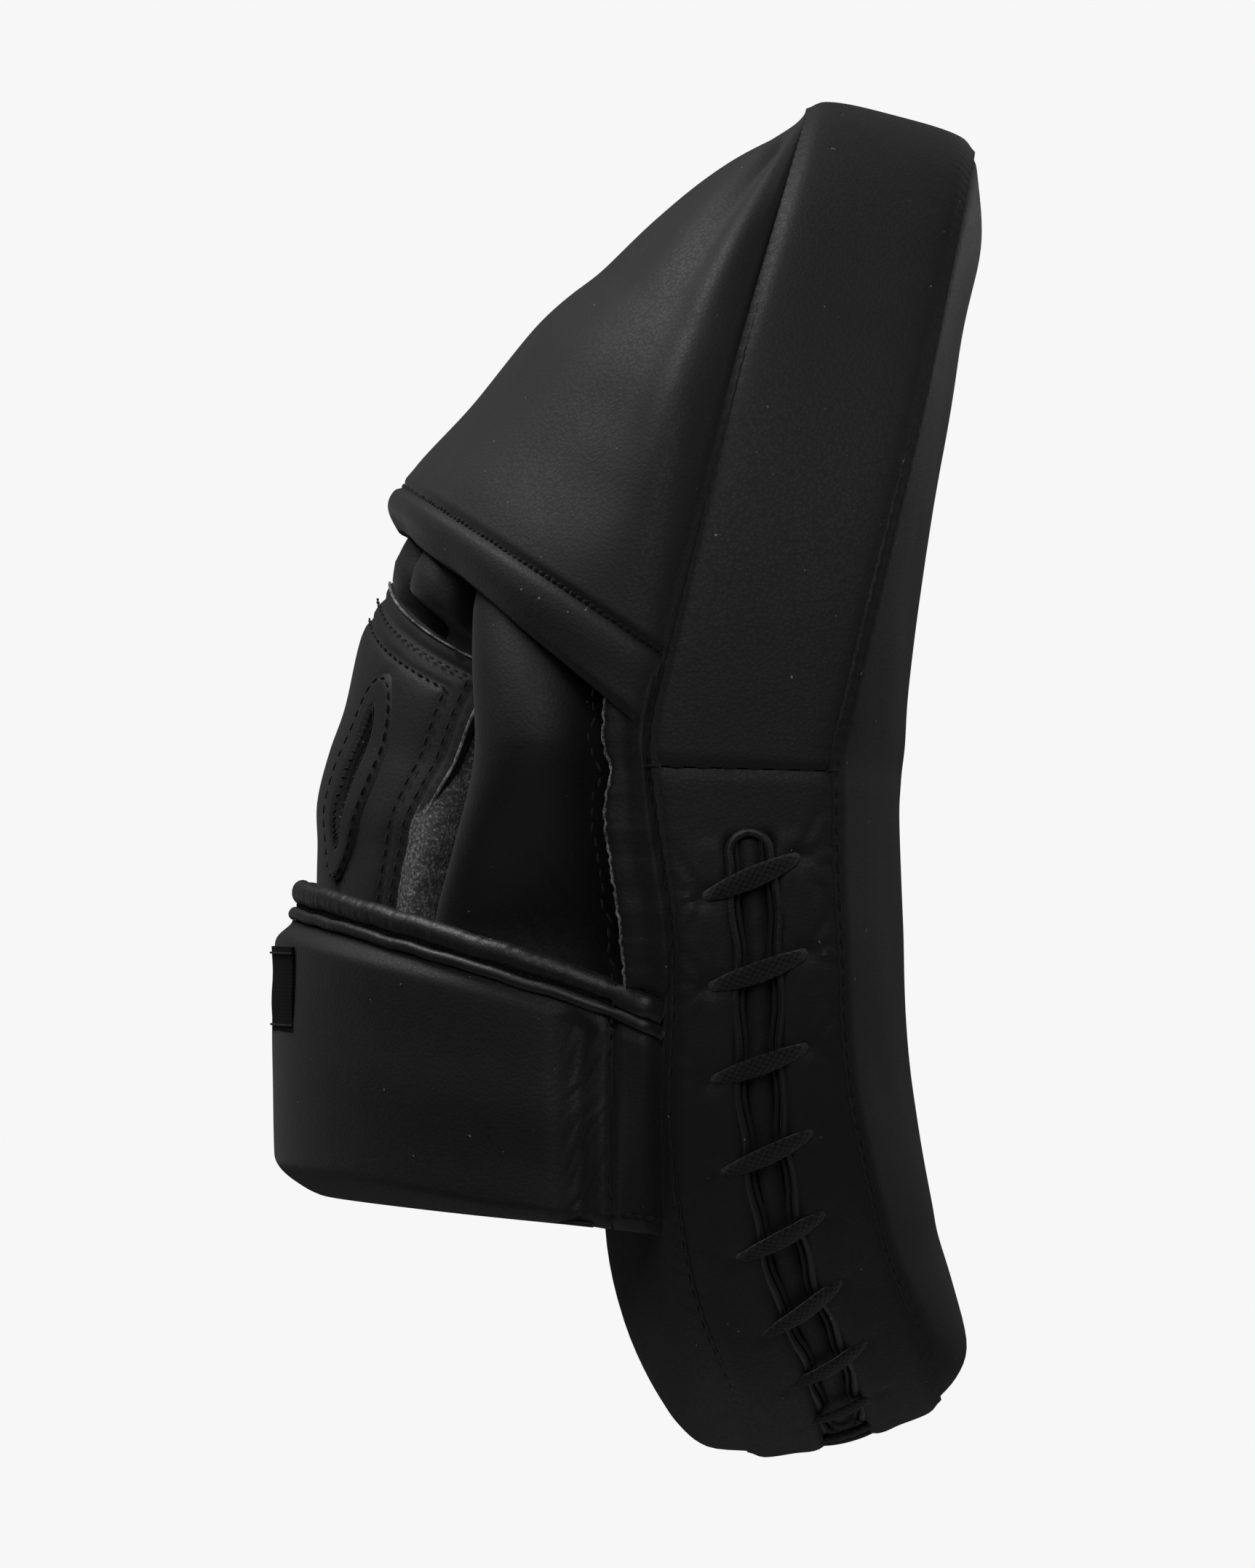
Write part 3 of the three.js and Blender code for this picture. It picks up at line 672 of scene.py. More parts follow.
class StitchTree:
    """Node tree that lays thread stitches along a path."""

    def __init__(self) -> None:
        """Builds the tree once, with named inputs for its sizes."""
        self.tree = bpy.data.node_groups.new("stitch_run", "GeometryNodeTree")
        face = self.tree.interface
        face.new_socket("Geometry", in_out="INPUT", socket_type="NodeSocketGeometry")
        for name, size in (("Pitch", 3.5), ("Length", 2.6), ("Radius", 0.35)):
            face.new_socket(name, in_out="INPUT", socket_type="NodeSocketFloat").default_value = size * MM
        face.new_socket("Material", in_out="INPUT", socket_type="NodeSocketMaterial")
        face.new_socket("Geometry", in_out="OUTPUT", socket_type="NodeSocketGeometry")
        source = self.tree.nodes.new("NodeGroupInput")
        curve = self._node("GeometryNodeMeshToCurve", {}, {"Mesh": source.outputs["Geometry"]})
        points = self._node("GeometryNodeCurveToPoints", {"mode": "LENGTH"}, {
            "Curve": curve.outputs[0], "Length": source.outputs["Pitch"]})
        ball = self._node("GeometryNodeMeshUVSphere", {}, {"Segments": 8, "Rings": 5, "Radius": 1.0})
        half = self._node("ShaderNodeMath", {"operation": "MULTIPLY"}, {0: source.outputs["Length"], 1: 0.5})
        size = self._node("ShaderNodeCombineXYZ", {}, {
            0: source.outputs["Radius"], 1: source.outputs["Radius"], 2: half.outputs[0]})
        turn = self._node("FunctionNodeAlignRotationToVector", {"axis": "Z"}, {
            "Vector": points.outputs["Tangent"]})
        wobble = self._node("FunctionNodeRandomValue", {"data_type": "FLOAT"}, {
            2: 0.85, 3: 1.12, "Seed": 11})
        scale = self._node("ShaderNodeVectorMath", {"operation": "SCALE"}, {
            0: size.outputs[0], "Scale": wobble.outputs[1]})
        copies = self._node("GeometryNodeInstanceOnPoints", {}, {
            "Points": points.outputs["Points"], "Instance": ball.outputs["Mesh"],
            "Rotation": turn.outputs[0], "Scale": scale.outputs[0]})
        real = self._node("GeometryNodeRealizeInstances", {}, {"Geometry": copies.outputs[0]})
        shade = self._node("GeometryNodeSetShadeSmooth", {}, {0: real.outputs[0]})
        last = self._node("GeometryNodeSetMaterial", {}, {
            "Geometry": shade.outputs[0], "Material": source.outputs["Material"]})
        sink = self.tree.nodes.new("NodeGroupOutput")
        self.tree.links.new(last.outputs[0], sink.inputs[0])
        self.sockets = {item.name: item.identifier for item in face.items_tree if item.in_out == "INPUT"}

    def _node(self, kind: str, settings: dict, inputs: dict) -> bpy.types.Node:
        """Adds a node with its settings and its sockets' values or links."""
        added = self.tree.nodes.new(kind)
        for key, setting in settings.items():
            setattr(added, key, setting)
        for key, content in inputs.items():
            if isinstance(content, bpy.types.NodeSocket):
                self.tree.links.new(content, added.inputs[key])
            else:
                added.inputs[key].default_value = content
        return added

    def sew(self, name: str, paths: Sequence[Grid], thread: bpy.types.Material, pitch: float = 3.5,
            length: float = 2.6, radius: float = 0.35) -> bpy.types.Object:
        """Lays stitches along paths.

        Args:
            name: Name of the piece.
            paths: Lists of points in millimetres.
            thread: Material of the thread.
            pitch: Distance from stitch to stitch.
            length: Length of one stitch.
            radius: Radius of the thread.

        Returns:
            The stitches as one plain mesh object.
        """
        points = np.vstack(paths)
        edges = []
        start = 0
        for path in paths:
            edges.extend((start + i, start + i + 1) for i in range(len(path) - 1))
            start += len(path)
        guide_mesh = bpy.data.meshes.new(name + "_guide")
        guide_mesh.from_pydata(place(points).tolist(), edges, [])
        guide = new_object(name + "_guide", guide_mesh)
        modifier = guide.modifiers.new("stitches", "NODES")
        modifier.node_group = self.tree
        for key, size in (("Pitch", pitch), ("Length", length), ("Radius", radius)):
            modifier[self.sockets[key]] = size * MM
        modifier[self.sockets["Material"]] = thread
        depsgraph = bpy.context.evaluated_depsgraph_get()
        mesh = bpy.data.meshes.new_from_object(guide.evaluated_get(depsgraph))
        mesh.name = name
        bpy.data.objects.remove(guide)
        return new_object(name, mesh)


# Pad ----------------------------------------------------------------------------------------------


@dataclass
class PadForm:
    """The pad's own coordinates: along its bent spine, across it in Y, and through its thickness."""

    half_width: float = 95.0
    roundness: float = 2.3
    # How far the spine's direction is averaged, in general and more so at the knuckles' bend.
    turn_reach: float = 8.0
    bend_reach: float = 6.0
    bend_along: float = 138.0
    bend_width: float = 34.0
    spine_knots: Sequence[Sequence[float]] = (
        (42.2, 4.9), (38.0, 19.5), (31.2, 36.0), (25.4, 68.0), (24.4, 100.0), (22.2, 126.0), (21.6, 138.0),
        (25.0, 153.0), (51.2, 258.5))
    # Rise of the strike face and of the back panel over their seams, as (height, rise).
    face_rise: Sequence[Sequence[float]] = (
        (5.0, 0.0), (12.0, 7.2), (22.0, 8.8), (40.0, 10.8), (90.0, 12.4), (140.0, 12.6), (183.0, 7.8),
        (220.0, 4.9), (242.0, 5.0), (258.5, 0.0))
    back_rise: Sequence[Sequence[float]] = (
        (5.0, 0.0), (9.0, 8.0), (16.0, 12.0), (32.0, 13.8), (52.0, 13.3), (80.0, 8.0), (115.0, 4.5),
        (160.0, 4.0), (240.0, 3.0), (258.5, 0.0))

    def __post_init__(self) -> None:
        """Samples the spine and the outline."""
        self.spine = Line(self.spine_knots)
        self.length = self.spine.length
        angle = np.linspace(0.0, 2.0 * math.pi, 2881)
        self.rim_along = self.length / 2.0 * (1.0 - signed_power(np.cos(angle), 2.0 / self.roundness))
        self.rim_across = -self.half_width * signed_power(np.sin(angle), 2.0 / self.roundness)
        steps = np.hypot(np.diff(self.rim_along), np.diff(self.rim_across))
        self.rim_reach = np.concatenate([[0.0], np.cumsum(steps)])
        self.rim = float(self.rim_reach[-1])

    def along_at(self, height: Grid | float) -> Grid:
        """Distance along the spine at which it reaches a height."""
        return self.spine.fraction_at_height(height) * self.length

    def point(self, along: Grid, across: Grid, through: Grid) -> Grid:
        """Points at distances along, across and through the pad."""
        along, across, through = np.broadcast_arrays(along, across, through)
        inside = np.clip(along / self.length, 0.0, 1.0)
        middle = self.spine.at(inside)
        bend = bell(inside * self.length, self.bend_along, self.bend_width)
        nudge = (self.turn_reach + self.bend_reach * bend)[..., None] / self.length
        before = np.maximum(inside[..., None] - nudge, 0.0)
        after = np.minimum(inside[..., None] + nudge, 1.0)
        tangent = self.spine.at(after[..., 0]) - self.spine.at(before[..., 0])
        tangent /= np.linalg.norm(tangent, axis=-1, keepdims=True)
        beyond = along - inside * self.length
        x = middle[..., 0] + tangent[..., 0] * beyond + tangent[..., 1] * through
        z = middle[..., 1] + tangent[..., 1] * beyond - tangent[..., 0] * through
        return np.stack([x, across, z], axis=-1)

    def half_thickness(self, along: Grid) -> Grid:
        """Half the gusset's width."""
        heel = mix(19.6, 16.7, ramp(along, 35.0, 95.0))
        knuckles = mix(heel, 18.6, ramp(along, 100.0, 140.0))
        return mix(knuckles, 17.0, ramp(along, 200.0, self.length))

    def width_at(self, along: Grid) -> Grid:
        """Half the pad's width at a distance along it."""
        offset = np.minimum(np.abs(2.0 * np.asarray(along) / self.length - 1.0), 1.0)
        return self.half_width * (1.0 - offset**self.roundness) ** (1.0 / self.roundness)

    def rim_at(self, reach: Grid, out: Grid | float = 0.0) -> tuple[Grid, Grid]:
        """Place on the outline, at a length round it from the bottom by the thumb side, moved outwards."""
        wrapped = np.mod(reach, self.rim)
        along = np.interp(wrapped, self.rim_reach, self.rim_along)
        across = np.interp(wrapped, self.rim_reach, self.rim_across)
        ahead = np.mod(wrapped + 0.7, self.rim)
        behind = np.mod(wrapped - 0.7, self.rim)
        step_along = np.interp(ahead, self.rim_reach, self.rim_along) - np.interp(
            behind, self.rim_reach, self.rim_along)
        step_across = np.interp(ahead, self.rim_reach, self.rim_across) - np.interp(
            behind, self.rim_reach, self.rim_across)
        run = np.hypot(step_along, step_across)
        return along + step_across / run * out, across - step_along / run * out

    def rim_reach_at(self, height: float) -> float:
        """Length round the outline, on the thumb side, at which the pad reaches a height."""
        half = len(self.rim_along) // 2
        return float(np.interp(self.along_at(height), self.rim_along[:half], self.rim_reach[:half]))

    def edge(self, reach: Grid, through: Grid, out: Grid | float) -> Grid:
        """Points on the side wall: length round it, distance through the pad, distance outwards."""
        along, across = self.rim_at(reach, out)
        return self.point(along, across, through)

    def rise(self, table: Sequence[Sequence[float]], along: Grid, across: Grid, flatness: float) -> Grid:
        """Height of a crowned cover over its seam."""
        knots = self.along_at(np.array([knot[0] for knot in table]))
        crest = np.interp(along, np.linspace(0.0, self.length, 400), self._crest(knots, table))
        width = np.maximum(self.width_at(along), 1e-6)
        return crest * (1.0 - np.minimum(np.abs(across) / width, 1.0) ** flatness)

    def _crest(self, knots: Grid, table: Sequence[Sequence[float]]) -> Grid:
        """Smooth rise along the middle of a cover, at even steps along the spine."""
        curve = through_knots(np.column_stack([np.array([knot[1] for knot in table]), knots]))
        return np.interp(np.linspace(0.0, self.length, 400), np.maximum.accumulate(curve[:, 1]), curve[:, 0])


@dataclass
class Pad:
    """Covers, side walls and seams of the pad."""

    form: PadForm
    finishes: Finishes
    stitches: StitchTree
    seam_tuck: float = 1.3
    seam_width: float = 1.7
    gusset_seam: float = 133.5
    columns: int = 620
    knuckle_along: float = 137.0
    knuckle_fill: float = 0.9

    def _disc(self, side: int) -> Grid:
        """Grid over one cover: the strike face (1) or the back panel (-1)."""
        t = np.linspace(0.0, 1.0, 52)
        around = np.linspace(0.0, self.form.rim, self.columns, endpoint=False)
        reach, v = mesh_grid(around, 1.0 - (1.0 - t) ** 1.7)
        rim_along, rim_across = self.form.rim_at(reach)
        along = mix(self.form.length / 2.0, rim_along, v)
        across = rim_across * v
        table, flatness = ((self.form.face_rise, 2.6) if side > 0 else (self.form.back_rise, 3.4))
        rise = self.form.rise(table, along, across, flatness)
        span = np.hypot(rim_along - self.form.length / 2.0, rim_across)
        inward = (1.0 - v) * span
        pucker = 0.16 * np.sin(2.0 * math.pi * reach / 3.5) * np.exp(-inward / 2.2)
        slack = 0.35 * soft_noise(np.stack([along, across, along * 0.0], axis=-1), 5 + side, 46.0)
        lift = rise - self.seam_tuck * bell(inward, 0.0, self.seam_width) + pucker
        lift = lift + slack * ramp(inward, 4.0, 25.0)
        if side > 0:
            lift = lift + self.knuckle_fill * bell(along, self.knuckle_along, 9.0) * (1.0 - v**6)
        return self.form.point(along, across, side * (self.form.half_thickness(along) + lift))

    def covers(self) -> None:
        """Makes the strike face and the back panel."""
        for name, side in (("strike_face_cover", 1), ("back_panel", -1)):
            grid = self._disc(side)
            rows = np.concatenate([np.arange(0, 50, 7), [51]])
            normal = grid_normals(grid, True)[rows]
            inner = grid[rows] - normal * LEATHER * np.sign(normal[0, 0, 0] * side)
            piece = dress(panel(name, grid, inner, True), self.finishes.pad, replaces=[name])

    def _wall(self, start: float, end: float, lift: Callable[[Grid, Grid], Grid]) -> Grid:
        """Grid over a side wall between two lengths round the outline."""
        reach, v = mesh_grid(np.linspace(start, end, int((end - start) / 1.05)), np.linspace(-1.0, 1.0, 41))
        half = self.form.half_thickness(self.form.rim_at(reach)[0])
        through = v * half
        to_seam = half - np.abs(through)
        to_end = np.minimum(reach - start, end - reach)
        fold = 0.14 * np.sin(2.0 * math.pi * reach / 3.5) * np.exp(-to_seam / 2.0)
        to_middle = np.minimum(np.mod(reach, self.form.rim), self.form.rim - np.mod(reach, self.form.rim))
        foot = bell(to_middle, 0.0, 75.0)
        crown = bell(np.mod(reach, self.form.rim), self.form.rim / 2.0, 70.0)
        out = (0.9 + 0.7 * foot + 1.0 * crown) * (1.0 - v**4) + 0.9 * (foot + crown)
        out = out - 1.2 * bell(to_seam, 0.0, self.seam_width)
        out = out - 0.55 * bell(to_end, 0.0, 1.0) + fold + lift(reach, through)
        return self.form.edge(reach, through, out)

    def walls(self, lower_lift: Callable[[Grid, Grid], Grid]) -> None:
        """Makes the upper and lower gussets.

        Args:
            lower_lift: Shape that the slot and the eyelets give to the lower wall.
        """
        seam = self.form.rim_reach_at(self.gusset_seam)

        def slack(reach: Grid, through: Grid) -> Grid:
            """Slow unevenness of a wall stretched over foam."""
            spot = np.stack([reach, through, reach * 0.0], axis=-1)
            return 0.28 * soft_noise(spot, 21, 60.0)

        upper = self._wall(seam + 0.15, self.form.rim - seam - 0.15, slack)
        lower = self._wall(-seam + 0.15, seam - 0.15, lambda reach, through: slack(reach, through)
                           + lower_lift(reach, through))
        for name, grid in (("upper_gusset", upper), ("lower_gusset", lower)):
            middle = grid.shape[0] // 2, grid.shape[1] // 2
            outward = grid[middle][2] - self.form.length / 2.0
            sign = np.sign(grid_normals(grid, False)[middle][2] * outward)
            dress(skin(name, grid, LEATHER, sign=float(sign)), self.finishes.pad,
                  replaces=[name])

    def seams(self) -> None:
        """Sews the covers to the walls and the walls to each other."""
        reach = np.linspace(0.0, self.form.rim, 900)
        along = self.form.rim_at(reach)[0]
        half = self.form.half_thickness(along)
        buried = 0.8 * ramp(along, 120.0, 140.0)
        front = self.form.edge(reach, half - 0.55, -0.75 - buried)
        back = self.form.edge(reach, 0.75 - half, -0.55 - buried)
        dress(self.stitches.sew("front_seam_stitches", [front], self.finishes.thread, 3.6, 2.4, 0.26),
              self.finishes.thread)
        dress(self.stitches.sew("back_seam_stitches", [back], self.finishes.thread, 3.6, 2.4, 0.3),
              self.finishes.thread)
        seam = self.form.rim_reach_at(self.gusset_seam)
        across = np.linspace(-0.94, 0.94, 60)
        rows = []
        for place_on_rim in (seam, -seam):
            depth = self.form.half_thickness(self.form.rim_at(np.full(60, place_on_rim))[0]) * across
            rows.append(self.form.edge(np.full(60, place_on_rim), depth, 0.05))
        dress(self.stitches.sew("side_seam_stitches", rows, self.finishes.thread, 4.4, 2.8, 0.27),
              self.finishes.thread)


@dataclass
class Lacing:
    """Laced slot in the lower gusset: welts, tongue and one flat cotton lace."""

    form: PadForm
    finishes: Finishes
    top_height: float = 121.5
    first_height: float = 113.0
    crossings: int = 10
    pitch: float = 17.9
    eyelet: float = 9.0
    rise: float = 3.0
    slot_half: float = 3.9
    gape: float = 0.75
    tongue_half: float = 2.15

    def __post_init__(self) -> None:
        """Works out where the slot starts and ends."""
        self.top = self.form.rim_reach_at(self.top_height)
        self.first = self.form.rim_reach_at(self.first_height)
        self.end = self.first - (self.crossings - 1) * self.pitch - 6.0

    def middles(self) -> list[float]:
        """Lengths round the outline at which the lace crosses the slot."""
        return [self.first - crossing * self.pitch for crossing in range(self.crossings)]

    def wall_lift(self, reach: Grid, through: Grid) -> Grid:
        """Groove of the slot and the puckers that the lace pulls at each eyelet."""
        inside = ramp(reach, self.end - 1.0, self.end + 2.0) * (1.0 - ramp(reach, self.top - 3.0, self.top))
        lift = -3.0 * inside * (1.0 - ramp(np.abs(through), 3.2, 5.2))
        lift = lift + 0.5 * inside * bell(np.abs(through), 7.0, 2.6)
        for order, middle in enumerate(self.middles()):
            for side in (-1.0, 1.0):
                along = reach - (middle + side * self.rise)
                across = through - side * self.eyelet
                away = np.hypot(along, across)
                angle = np.arctan2(along, across * side)
                folds = np.cos(9.0 * angle + order) + 0.6 * np.cos(15.0 * angle + 2.0 * order)
                outer_side = 0.35 + 0.65 * ramp(np.cos(angle), -0.4, 0.7)
                lift = lift - mix(1.15, 0.5, min(order / 6.0, 1.0)) * bell(away, 0.0, 1.9)
                pull = mix(0.6, 0.0, min(order / 6.0, 1.0))
                lift = lift + pull * folds * np.exp(-away / 4.6) * ramp(away, 0.8, 2.6) * outer_side
        return lift

    def _side_path(self, side: float, tuck: float, out: float) -> Grid:
        """Path up one side of the slot and round its top to the middle.

        Args:
            side: 1 for the front, -1 for the rear.
            tuck: Distance inside the slot's edge.
            out: Distance out of the wall.

        Returns:
            The points.
        """
        turn = self.slot_half - tuck
        straight = np.linspace(self.end, self.top - turn, 240)
        swell = np.sin(math.pi * (straight - self.first - self.rise) / self.pitch) ** 2
        swell = swell * (1.0 - ramp(straight, self.top - turn - 4.0, self.top - turn))
        bend = np.radians(np.linspace(0.0, 96.0, 26)[1:])
        reach = np.concatenate([straight, self.top - turn + turn * np.sin(bend)])
        through = np.concatenate([self.slot_half - tuck + self.gape * swell, turn * np.cos(bend)])
        return self.form.edge(reach, side * through, out)

    def _facing(self, path: Grid) -> Grid:
        """Direction out of the wall along a path on it."""
        centre = self.form.point(self.form.length * 0.45, 0.0, 0.0)
        outward = path - centre
        outward[:, 0] = 0.0
        return outward / np.linalg.norm(outward, axis=1, keepdims=True)

    def welts(self) -> None:
        """Makes the two rolled edges of the slot, each with a thin fold inside it."""
        for name, side in (("slot_welt_front", 1.0), ("slot_welt_rear", -1.0)):
            roll = self._side_path(side, 0.0, 0.5)
            fold = self._side_path(side, 1.5, -0.2)
            dress(sweep(name, roll, self._facing(roll), 0.85, 0.8, 12), self.finishes.rolled,
                  replaces=[name])
            dress(sweep(name + "_fold", fold, self._facing(fold), 0.45, 0.6, 10), self.finishes.pad)

    def tongue(self) -> None:
        """Makes the tongue that closes the slot from inside."""
        length = np.linspace(self.end + 1.0, self.top - 1.4, 220)
        reach, across = mesh_grid(length, np.linspace(-1.0, 1.0, 15))
        crown = 0.8 * (1.0 - across**2)
        across = across * self.tongue_half
        spot = np.stack([reach, across, reach * 0.0], axis=-1)
        grid = self.form.edge(reach, across, -0.45 + crown + 0.2 * soft_noise(spot, 9, 7.0))
        dress(skin("slot_tongue", grid, 0.9, sign=self._sign(grid)), self.finishes.pad,
              replaces=["slot_tongue"])

    def _sign(self, grid: Grid) -> float:
        """Which way a grid on the wall faces."""
        middle = grid.shape[0] // 2, grid.shape[1] // 4
        return float(np.sign(grid_normals(grid, False)[middle] @ self._facing(grid[middle][None])[0])) or 1.0

    def lace(self) -> None:
        """Threads the lace: up over the slot, in at the front eyelet and back below the tongue."""
        knots = []
        widths = []
        for order, middle in enumerate(self.middles()):
            low, high = middle - self.rise, middle + self.rise
            following = low - self.pitch
            stops = [
                (low, -6.2, -5.3, 1.3), (low, -self.eyelet, -1.6, 1.0),
                (low + 0.3, 0.8 - self.eyelet, 0.75, 1.15),
                (mix(low, high, 0.27), -4.3, 1.95, 1.85), (middle, 0.0, 2.35, 2.1),
                (mix(low, high, 0.73), 4.3, 1.95, 1.85), (high - 0.3, self.eyelet - 0.8, 0.75, 1.15),
                (high, self.eyelet, -1.6, 1.0), (high, 6.2, -5.3, 1.3)]
            if order < self.crossings - 1:
                stops.append((mix(high, following, 0.5), 0.0, -5.7, 1.6))
            for reach, through, out, width in stops:
                knots.append(self.form.edge(np.array(reach), np.array(through), out))
                widths.append(width)
        path = through_knots(np.array(knots), 14)
        width = np.interp(np.linspace(0.0, len(widths) - 1.0, len(path)), np.arange(len(widths)), widths)
        facing = self._facing(path)
        piece = sweep("pad_lace", path, facing, width, 0.8, 16)
        dress(piece, self.finishes.lace, replaces=["pad_lace"])


# Finger hood --------------------------------------------------------------------------------------


@dataclass
class FingerHood:
    """Soft hood over the fingers, with a sewn hem, a lining and four sleeves inside."""

    form: PadForm
    finishes: Finishes
    stitches: StitchTree
    hem_height: float = 138.8
    roundness: float = 2.05
    hem_width: float = 12.0
    crest_knots: Sequence[Sequence[float]] = (
        (-44.0, 178.3), (-46.6, 185.2), (-41.6, 192.4), (-30.0, 205.0), (-17.2, 220.6), (-11.0, 226.4),
        (-5.4, 230.6), (5.6, 240.8), (20.2, 252.0), (33.2, 259.3))

    def __post_init__(self) -> None:
        """Samples the crest."""
        self.crest = Line(self.crest_knots)
        self.start = float(self.form.along_at(self.hem_height))

    def _surface(self, u: Grid, v: Grid, inset: float = 0.0) -> tuple[Grid, Grid, Grid]:
        """Plain hood surface.

        Args:
            u: Position round the arch, 0 at the near seam and 1 at the far one.
            v: Position from the hem (0) to the fingertips (1).
            inset: Distance inside the outer surface.

        Returns:
            Points, the part of the way from seam to crest, and the signed side.
        """
        along = mix(self.start, self.form.length - 0.6, v)
        base = self.form.point(along, 0.0, -self.form.half_thickness(along) + 0.2)
        top = self.crest.at(v)
        reach = np.stack([top[..., 0] - base[..., 0], top[..., 1] - base[..., 2]], axis=-1)
        height = np.linalg.norm(reach, axis=-1)
        angle = math.pi * u
        power = 2.0 / (self.roundness + 0.5 * ramp(v, 0.5, 0.9))
        arch = np.maximum(np.sin(angle), 0.0) ** power
        side = signed_power(np.cos(angle), power)
        lift = arch * np.maximum(height - inset, 0.3) / np.maximum(height, 1e-6)
        x = base[..., 0] + reach[..., 0] * lift
        z = base[..., 2] + reach[..., 1] * lift
        y = -np.maximum(self.form.width_at(along) - inset - 0.3, 0.2) * side
        return np.stack([x, y, z], axis=-1), arch, side

    def folds(self, arch: Grid, v: Grid, side: Grid) -> Grid:
        """Soft ridges and valleys, as a lift out of the plain surface."""
        near = ramp(side, 0.05, 0.5)
        ridge_at = mix(0.20, 0.29, ramp(v, 0.1, 0.8))
        ridge = mix(3.2, 1.5, ramp(v, 0.35, 0.7)) * bell(arch, ridge_at, 0.14)
        ridge = ridge * ramp(v, 0.08, 0.5) * (1.0 - ramp(v, 0.60, 0.88))
        gutter = -0.35 * bell(arch, 0.05, 0.05) * ramp(v, 0.0, 0.35) * (1.0 - ramp(v, 0.8, 1.0))
        valley = -1.9 * bell(arch, mix(0.44, 0.58, v), 0.14)
        valley = valley * ramp(v, 0.42, 0.75) * (1.0 - ramp(v, 0.93, 1.0))
        sag = -1.8 * bell(arch, 0.45, 0.2) * (1.0 - ramp(v, 0.35, 0.65)) * ramp(v, 0.1, 0.3)
        far = 2.0 * bell(arch, 0.45, 0.2) - 2.2 * bell(arch, 0.75, 0.14) * ramp(v, 0.3, 0.7)
        return (ridge + gutter + valley + sag) * near + far * ramp(-side, 0.1, 0.6) * ramp(v, 0.1, 0.4)

    def _outer(self) -> Grid:
        """Grid of the outer surface with its folds, its hem and the tuck at the seam."""
        u, v = mesh_grid(np.linspace(0.0, 1.0, 241), np.linspace(0.0, 1.0, 171) ** 1.12)
        grid, arch, side = self._surface(u, v)
        normal = grid_normals(grid, False)
        normal *= np.sign(normal[80, 120] @ np.array([-1.0, 0.0, 0.3]))
        from_hem = v * self.crest.length
        hem = -1.0 * bell(from_hem, self.hem_width, 0.9) + 0.35 * bell(from_hem, self.hem_width - 3.4, 3.2)
        hem = hem - 1.2 * bell(from_hem, 0.0, 1.1)
        from_seam = arch * 45.0
        tuck = -1.0 * bell(from_seam, 0.0, 2.0)
        slack = 0.4 * soft_noise(grid, 3, 42.0) + 0.10 * soft_noise(grid, 4, 19.0)
        lift = self.folds(arch, v, side) + hem + tuck + slack * ramp(arch, 0.03, 0.25)
        lift = lift * (1.0 - ramp(v, 0.92, 0.995))
        return grid + normal * lift[..., None]

    def shell(self) -> None:
        """Makes the hood, its lining and the hem's chain stitch."""
        grid = self._outer()
        normal = grid_normals(grid, False)
        sign = float(np.sign(normal[80, 120] @ np.array([-1.0, 0.0, 0.3])))
        dress(skin("finger_hood", grid, LEATHER * 0.85, sign=sign), self.finishes.hood,
              replaces=["finger_hood"])
        u, v = mesh_grid(np.linspace(0.015, 0.985, 90), np.linspace(0.03, 0.93, 60))
        inner = self._surface(u, v, 4.2)[0]
        inner_normal = grid_normals(inner, False)
        inner_sign = float(np.sign(inner_normal[30, 45] @ np.array([-1.0, 0.0, 0.3])))
        dress(skin("finger_hood_lining", inner, 0.8, sign=inner_sign), self.finishes.lining,
              replaces=["finger_hood_lining"])
        row = int(np.argmin(np.abs(np.linspace(0.0, 1.0, 171) ** 1.12 * self.crest.length - self.hem_width)))
        line = grid[row] + normal[row] * sign * 0.1
        zigzag = 0.34 * np.where(np.arange(len(line)) % 2 == 0, 1.0, -1.0)
        upwards = grid[row + 3] - grid[row]
        upwards /= np.linalg.norm(upwards, axis=1, keepdims=True)
        chain = [line + upwards * (shift + zigzag)[:, None] * 0.7 for shift in (-0.2, 0.2)]
        dress(self.stitches.sew("hood_hem_stitches", chain, self.finishes.thread, 1.9, 1.45, 0.36),
              self.finishes.thread)

    def sleeves(self) -> None:
        """Makes the four finger sleeves, which come out below the hem."""
        lean = math.radians(31.0)
        axis = np.array([math.sin(lean), 0.0, math.cos(lean)])
        outwards = np.array([-math.cos(lean), 0.0, math.sin(lean)])
        fingers = (
            ("index", -37.8, -0.6), ("middle", -12.6, 4.0), ("ring", 12.6, 4.0), ("little", 37.8, -2.2))
        for order, (finger, across, sink) in enumerate(fingers):
            turn = np.linspace(0.0, 2.0 * math.pi, 72, endpoint=False)
            angle, t = mesh_grid(turn, np.linspace(0.0, 1.0, 50))
            reach = mix(-25.0, 42.0, t)
            spot = np.stack([angle * 8.0, reach, angle * 0.0], axis=-1)
            crease = 0.35 * soft_noise(spot, 30 + order, 14.0)
            hem = -0.5 * bell(reach, -21.4, 0.8) - 0.6 * bell(reach, -25.0, 0.9)
            deep = 8.3 + crease + hem
            wide = 11.6 + crease + hem
            mouth = np.array([-35.0, across, 168.0]) + outwards * sink
            centre = mouth + axis * reach[..., None]
            inwards = 9.0 if abs(across) > 20.0 else 5.0
            centre[..., 0] += np.maximum(-reach, 0.0) * 0.36 + inwards * ramp(-reach, 3.5, 14.0)
            centre[..., 1] -= np.sign(across) * 3.5 * ramp(-reach, 2.5, 14.0)
            grid = centre + outwards * (np.cos(angle) * deep)[..., None]
            grid[..., 1] += np.sin(angle) * wide
            inner = centre + outwards * (np.cos(angle) * (deep - 1.3))[..., None]
            inner[..., 1] += np.sin(angle) * (wide - 1.3)
            name = f"{finger}_finger_sleeve"
